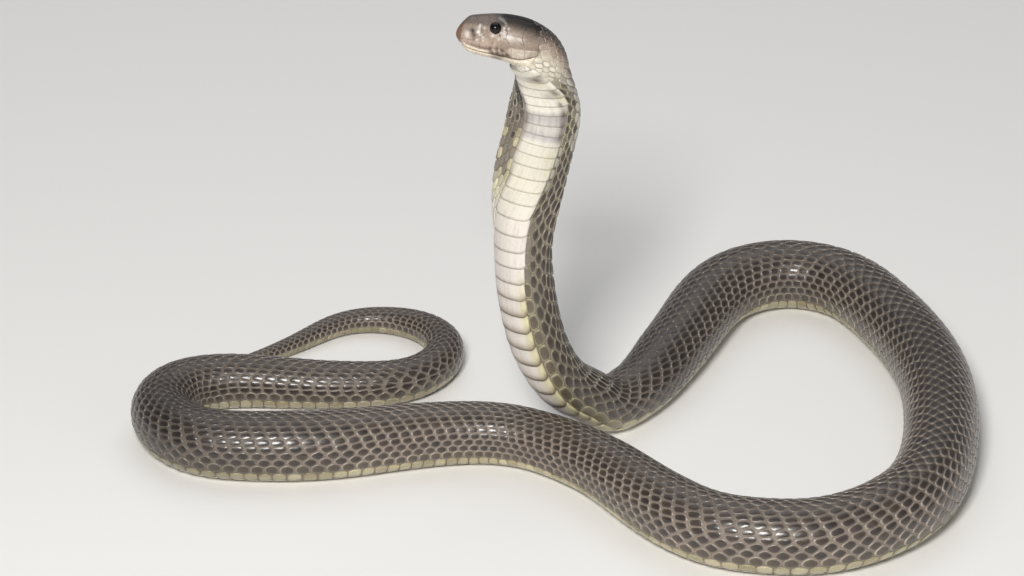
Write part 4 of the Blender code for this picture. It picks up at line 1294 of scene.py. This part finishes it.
def scute_object(surface, material, draws, edges):
    """Belly scutes and the paired scutes under the tail, as one joined mesh."""
    index = np.arange(SCUTE_GRID[0] * SCUTE_GRID[1]).reshape(SCUTE_GRID)
    rim = np.concatenate([index[0], index[1:, -1], index[-1, -2::-1], index[-2:0:-1, 0]])
    skirt = index.size + np.arange(len(rim))
    top = [index[:-1, :-1], index[1:, :-1], index[1:, 1:], index[:-1, 1:]]
    faces = (
        np.stack(top, axis=-1).reshape(-1, 4),
        np.stack([rim, np.roll(rim, -1), np.roll(skirt, -1), skirt], axis=-1),
        np.stack([skirt, np.roll(skirt, -1), np.full(len(rim), index.size + len(rim))], axis=-1),
    )
    joined = Joined()
    for start, end in zip(edges, edges[1:]):
        if start < SCUTES_BEGIN - 1 or end > LENGTH - BARE_UNDER_TIP:
            continue
        share = float(belly_share(start))
        raised = 1 - smooth_step(start, LANDING_START - 12, LANDING_START)
        length = end - start
        overlap = raised * (0.16 + 0.14 * float(smooth_step(start, 100.0, 125.0)))
        rise = (-0.14 * length / 6, -0.04 + overlap * length / 6)
        halves = [(-share, share)] if start < VENT else [(-share, -TAIL_PART), (TAIL_PART, share)]
        for low, high in halves:
            s, w, height, v = scute_grid(start, end + 0.22 * length * raised, low, high, rise)
            place, normal, _, _ = surface.at(s, w)
            top = (place + normal * height[..., None]).reshape(-1, 3)
            base = (place - normal * (0.75 * min(1.0, length / 5))).reshape(-1, 3)[rim]
            points = np.concatenate([top, base, base.mean(axis=0)[None]])
            points[:, 2] = np.maximum(points[:, 2], 0.0)
            light = 1 + SCUTE_CHANCE * (draws.random() - 0.5)
            lines = draws.random(SCUTE_GRID[1]) ** 2
            streak = lines * (0.35 + 0.65 * draws.random(SCUTE_GRID))
            tint = (scute_tint(s, w % 1.0, v, streak) * light).reshape(-1, 3)
            edge = blend(tint[rim], SEAM_BROWN, 0.45)
            root = unwrap(np.array([start]), np.array([w.mean() % 1.0]))
            local = np.stack([(w - w.mean()) / (high - low) * 2, 2 * v - 1], axis=-1).reshape(-1, 2)
            uv = root + PATCH * np.concatenate([local, local[rim], [[0.0, 0.0]]])
            joined.add(points, np.concatenate([tint, edge, edge[:1]]), uv, faces)
    return joined.build("belly_scutes", material)


class HeadSurface:
    """The outside of the head, for finding its place nearest to another."""

    END = 46.0
    ABOVE = (20.0, 0.0, 12.0)

    def __init__(self, surface):
        places = surface.points[surface.s < self.END]
        _, quads = tube(*places.shape[:2])
        self.tree = BVHTree.FromPolygons([Vector(p) for p in places.reshape(-1, 3)], quads.tolist())
        self.outward = 1.0
        above = self.nearest([head_place(*self.ABOVE)])[1][0]
        self.outward = 1.0 if np.dot(above, HEAD_UP) > 0 else -1.0

    def nearest(self, points):
        """Nearest places on the surface and its outward directions there."""
        found = [self.tree.find_nearest(Vector(point)) for point in points]
        normals = np.array([tuple(hit[1]) for hit in found])
        return np.array([tuple(hit[0]) for hit in found]), self.outward * normals


def corner_places(names, side):
    """Corners of a shield along the head's own axes, on one side, from their names."""
    corners = []
    for name in names:
        if name[0] == "eye":
            for turn in np.radians(np.linspace(name[1], name[2], ARC_POINTS)):
                back = EYE_PLACE[0] + EYE_RING * math.cos(turn)
                up = EYE_PLACE[2] + EYE_RING * math.sin(turn)
                corners.append((back, EYE_PLACE[1] + EYE_BULGE, up))
        else:
            corners.append(CORNERS[name])
    return [(back, side * out, up) for back, out, up in corners]


def resampled(corners, fewest):
    """Closed outline through corners, with points about a step apart."""
    closed = np.concatenate([corners, corners[:1]])
    run = run_along(closed)
    count = int(np.clip(run[-1] / OUTLINE_STEP, fewest, MOST_POINTS))
    at = np.arange(count) * run[-1] / count
    return np.stack([np.interp(at, run, closed[:, k]) for k in range(3)], axis=1)


def mouth_share(surface):
    """Distances in the head with the share of the way round at which the mouth line runs."""
    found = []
    for s, ring in zip(surface.s, surface.points[surface.s < JAW_END, : Surface.COLUMNS // 2 + 1]):
        back, _, up = head_axes(ring)
        above = mouth_gap(back, up) > 0
        if above.any() and not above[0]:
            found.append((s, np.argmax(above) / Surface.COLUMNS))
    return found


def jaw_outlines(surface):
    """Corners of the shields of the lower jaw: along the lips, under the chin, the mental."""
    mouth = mouth_share(surface)

    def place(s, share, side):
        top = read(mouth, s) - BELOW_MOUTH / np.linalg.norm(surface.one(s, 0.1)[1])
        return surface.one(s, side * top * (1 - share))[0]

    shields = [
        ((a, 0.0), (b, 0.0), (b + 0.3, LIP_SHARES[1]), (a + 0.3, LIP_SHARES[k > 0]))
        for k, (a, b) in enumerate(zip(LIP_CUTS, LIP_CUTS[1:]))
    ]
    shields += [corners for _, corners in CHIN_SHIELDS]
    outlines = [[place(s, t, side) for s, t in corners] for side in (1, -1) for corners in shields]
    return outlines + [[place(*corner) for corner in MENTAL]]


def shield_outlines(surface, head):
    """Outlines of all the shields on the head's surface, each with its name."""
    shields = [
        (corner_places(corners, side), name, FEWEST_AT_SIDE)
        for side in (1, -1)
        for name, corners in SIDE_SHIELDS
    ]
    for name, corners in MIDDLE_SHIELDS:
        half = corner_places(corners, 1)
        other = [(back, -out, up) for back, out, up in reversed(half) if out > 0]
        shields.append((half + other, name, FEWEST_ELSEWHERE))
    outlines = [
        (resampled(head.nearest([head_place(*corner) for corner in corners])[0], fewest), name)
        for corners, name, fewest in shields
    ]
    for corners in jaw_outlines(surface):
        outlines.append((resampled(np.array(corners), FEWEST_ELSEWHERE), "jaw"))
    return outlines


def shield_tint(points, name, ring):
    """Colour of a shield at its points, by place, name and ring from the outline."""
    tint = head_colour(points)
    if name == "rostral":
        back, _, up = head_axes(points)
        tint = blend(tint, ROSTRAL_BROWN, 0.6 * smooth_step(mouth_gap(back, up), 0.4, 1.2))
    if name == "jaw":
        tint = blend(tint, JAW_WHITE, 0.25)
    return tint * SHIELD_SHADES[min(ring, len(SHIELD_SHADES) - 1)]


def shield_object(surface, material, draws):
    """All the head shields as one joined mesh."""
    head = HeadSurface(surface)
    joined = Joined()
    for outline, name in shield_outlines(surface, head):
        middle = head.nearest([outline.mean(axis=0)])[0][0]
        inward = middle - outline
        far = np.linalg.norm(inward, axis=1)[:, None]
        around = np.roll(outline, -1, axis=0) - np.roll(outline, 1, axis=0)
        light = 1 + SHIELD_CHANCE * (draws.random() - 0.5)
        angle = np.arange(len(outline)) * 2 * math.pi / len(outline)
        circle = np.stack([np.cos(angle), np.sin(angle)], axis=1)
        points, tint, uv = [], [], []
        for ring, (inset, share, height) in enumerate(SHIELD_RINGS):
            moved = outline + inward * np.minimum(inset / far, 0.4)
            spots, normals = head.nearest(moved + (middle - moved) * share)
            points.append(spots + normals * (height - SINK))
            tint.append(shield_tint(spots, name, ring) * light)
            uv.append((1 - share - 0.05 * ring) * circle)
        spots, normals = head.nearest([middle])
        points.append(spots - normals * SINK)
        tint.append(shield_tint(spots, name, len(SHIELD_RINGS)) * light)
        uv.append(np.zeros((1, 2)))
        faces = plate_faces(1, len(SHIELD_RINGS), len(outline))
        if dot(np.cross(inward, around), head.nearest(outline)[1]).mean() > 0:
            faces = [part[:, ::-1] for part in faces]
        back, side, up = head_axes(middle)
        w = (0.5 - 0.5 * math.atan2(side, up + 9.0) / math.pi) % 1.0
        root = unwrap(np.array([max(back, 0.5)]), np.array([w]))
        points, tint, uv = (np.concatenate(rows) for rows in (points, tint, uv))
        joined.add(points, tint, root + PATCH * uv, faces)
    return joined.build("head_shields", material)


def eye_object(side, material):
    """Glossy eye with a round pupil: the tint grows darker toward its pole."""
    back, out, up = EYE_PLACE
    centre = head_place(back, side * out, up)
    axis = unit(HEAD_TURN @ np.array((EYE_AXIS[0], side * EYE_AXIS[1], EYE_AXIS[2])))
    first = unit(np.cross(axis, (0.0, 0.0, 1.0)))
    second = np.cross(axis, first)
    levels, turns = EYE_GRID
    polar = np.linspace(0, math.pi, levels)[1:-1]
    turn = np.arange(turns) * 2 * math.pi / turns
    ring = np.cos(turn)[:, None] * first + np.sin(turn)[:, None] * second
    rows = np.cos(polar)[:, None, None] * axis + np.sin(polar)[:, None, None] * ring
    ball = np.concatenate([rows.reshape(-1, 3), [axis, -axis]])
    index, quads = tube(len(polar), turns)
    after = np.roll(index, -1, axis=1)
    front = np.stack([np.full(turns, index.size), index[0], after[0]], axis=-1)
    rear = np.stack([np.full(turns, index.size + 1), after[-1], index[-1]], axis=-1)
    angle = np.concatenate([np.repeat(polar, turns), [0.0, math.pi]])
    iris = smooth_step(angle, 0.50, 0.56)
    tint = painted(PUPIL, (IRIS, iris), (PUPIL, smooth_step(angle, 0.80, 0.95)))
    uv = 0.5 + 0.45 * ball @ np.stack([first, second], axis=1)
    name = "eyeball_left" if side > 0 else "eyeball_right"
    return build(name, ball * EYE_RADIUS + centre, [quads, front, rear], tint, uv, material)


def set_inputs(node, values):
    """Sets inputs of a shader node by their names."""
    for name, value in values.items():
        node.inputs[name].default_value = value


def node_of(material, kind, inputs, **values):
    """Adds a node to a material and sets its plain values and its inputs."""
    node = material.node_tree.nodes.new(kind)
    for name, value in values.items():
        setattr(node, name, value)
    set_inputs(node, inputs)
    return node


def new_material(name):
    """A material with nodes, and its main shader."""
    made = bpy.data.materials.new(name)
    made.use_nodes = True
    return made, made.node_tree.nodes["Principled BSDF"]


def scaly_material(name, roughness, shine, coat, bump, grain, mottle, wet=0.22):
    """Principled surface coloured by the tint, with fine procedural variation and bump."""
    made, shader = new_material(name)
    coating = {"Coat Weight": coat, "Coat Roughness": wet}
    set_inputs(shader, {"Metallic": 0.0, "Specular IOR Level": shine, **coating})
    tint = node_of(made, "ShaderNodeAttribute", {}, attribute_name="tint")
    place = node_of(made, "ShaderNodeTexCoord", {})
    coarse = {"Scale": 1200.0, "Detail": 4.0, "Roughness": 0.6}
    patches = node_of(made, "ShaderNodeTexNoise", coarse)
    grains = node_of(made, "ShaderNodeTexNoise", {"Scale": grain, "Detail": 3.0})
    middle = {"From Min": 0.3, "From Max": 0.7}
    lights = {**middle, "To Min": 1.0 - mottle, "To Max": 1.0 + mottle}
    glosses = {**middle, "To Min": roughness - 0.07, "To Max": roughness + 0.09}
    light = node_of(made, "ShaderNodeMapRange", lights)
    gloss = node_of(made, "ShaderNodeMapRange", glosses)
    mix = node_of(made, "ShaderNodeMix", {"Factor": 1.0}, data_type="RGBA", blend_type="MULTIPLY")
    lift = node_of(made, "ShaderNodeBump", {"Strength": bump, "Distance": 0.0002})
    links = (
        (place, "Object", patches, "Vector"),
        (place, "Object", grains, "Vector"),
        (patches, "Fac", light, "Value"),
        (tint, "Color", mix, "A"),
        (light, "Result", mix, "B"),
        (mix, "Result", shader, "Base Color"),
        (grains, "Fac", gloss, "Value"),
        (gloss, "Result", shader, "Roughness"),
        (grains, "Fac", lift, "Height"),
        (lift, "Normal", shader, "Normal"),
    )
    for source, output, target, into in links:
        made.node_tree.links.new(source.outputs[output], target.inputs[into])
    return made


def floor_object():
    """Plain pale floor."""
    bpy.ops.mesh.primitive_plane_add(size=FLOOR_SIZE, location=(0.0, 0.0, FLOOR_LEVEL))
    floor = bpy.context.object
    floor.name = "floor"
    made, shader = new_material("pale_floor")
    set_inputs(shader, {"Base Color": FLOOR_COLOUR, "Roughness": 0.85})
    floor.data.materials.append(made)
    return floor


def camera_object():
    """Camera of the photograph."""
    data = bpy.data.cameras.new("camera")
    data.sensor_width = SENSOR
    data.lens = LENS
    data.clip_start = 0.05
    camera = bpy.data.objects.new("camera", data)
    camera.location = CAMERA_PLACE
    camera.rotation_euler = (math.radians(CAMERA_TILT), 0.0, 0.0)
    bpy.context.scene.collection.objects.link(camera)
    bpy.context.scene.camera = camera
    return camera


def lighting():
    """Soft studio light: the square lights, each facing its target, and a pale surround."""
    for name, place, target, size, power, colour in LIGHTS:
        data = bpy.data.lights.new(name, "AREA")
        data.shape = "SQUARE"
        data.size = size
        data.energy = power
        data.color = colour
        light = bpy.data.objects.new(name, data)
        light.location = place
        light.rotation_euler = (Vector(target) - Vector(place)).to_track_quat("-Z", "Y").to_euler()
        bpy.context.scene.collection.objects.link(light)
    world = bpy.data.worlds.new("surround")
    bpy.context.scene.world = world
    world.use_nodes = True
    set_inputs(world.node_tree.nodes["Background"], {"Color": SURROUND, "Strength": SURROUND_POWER})
    bpy.context.scene.view_settings.view_transform = "Standard"


def main():
    """Loads the frame and dresses it."""
    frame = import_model()
    draws = np.random.default_rng(SEED)
    surface = Surface()
    hide, scale, scute, shield, wet = (scaly_material(*values) for values in MATERIALS)
    skin = skin_object(surface, hide)
    flesh = [name for name in frame["nodes"] if not name.startswith("eye_")]
    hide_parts(*flesh)
    coat = scale_objects(surface, scale, draws)
    coat.append(scute_object(surface, scute, draws, scale_edges()))
    coat.append(shield_object(surface, shield, draws))
    for side, node in ((1, "eye_left"), (-1, "eye_right")):
        eye = eye_object(side, wet)
        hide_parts(node)
    floor_object()
    camera_object()
    lighting()


main()
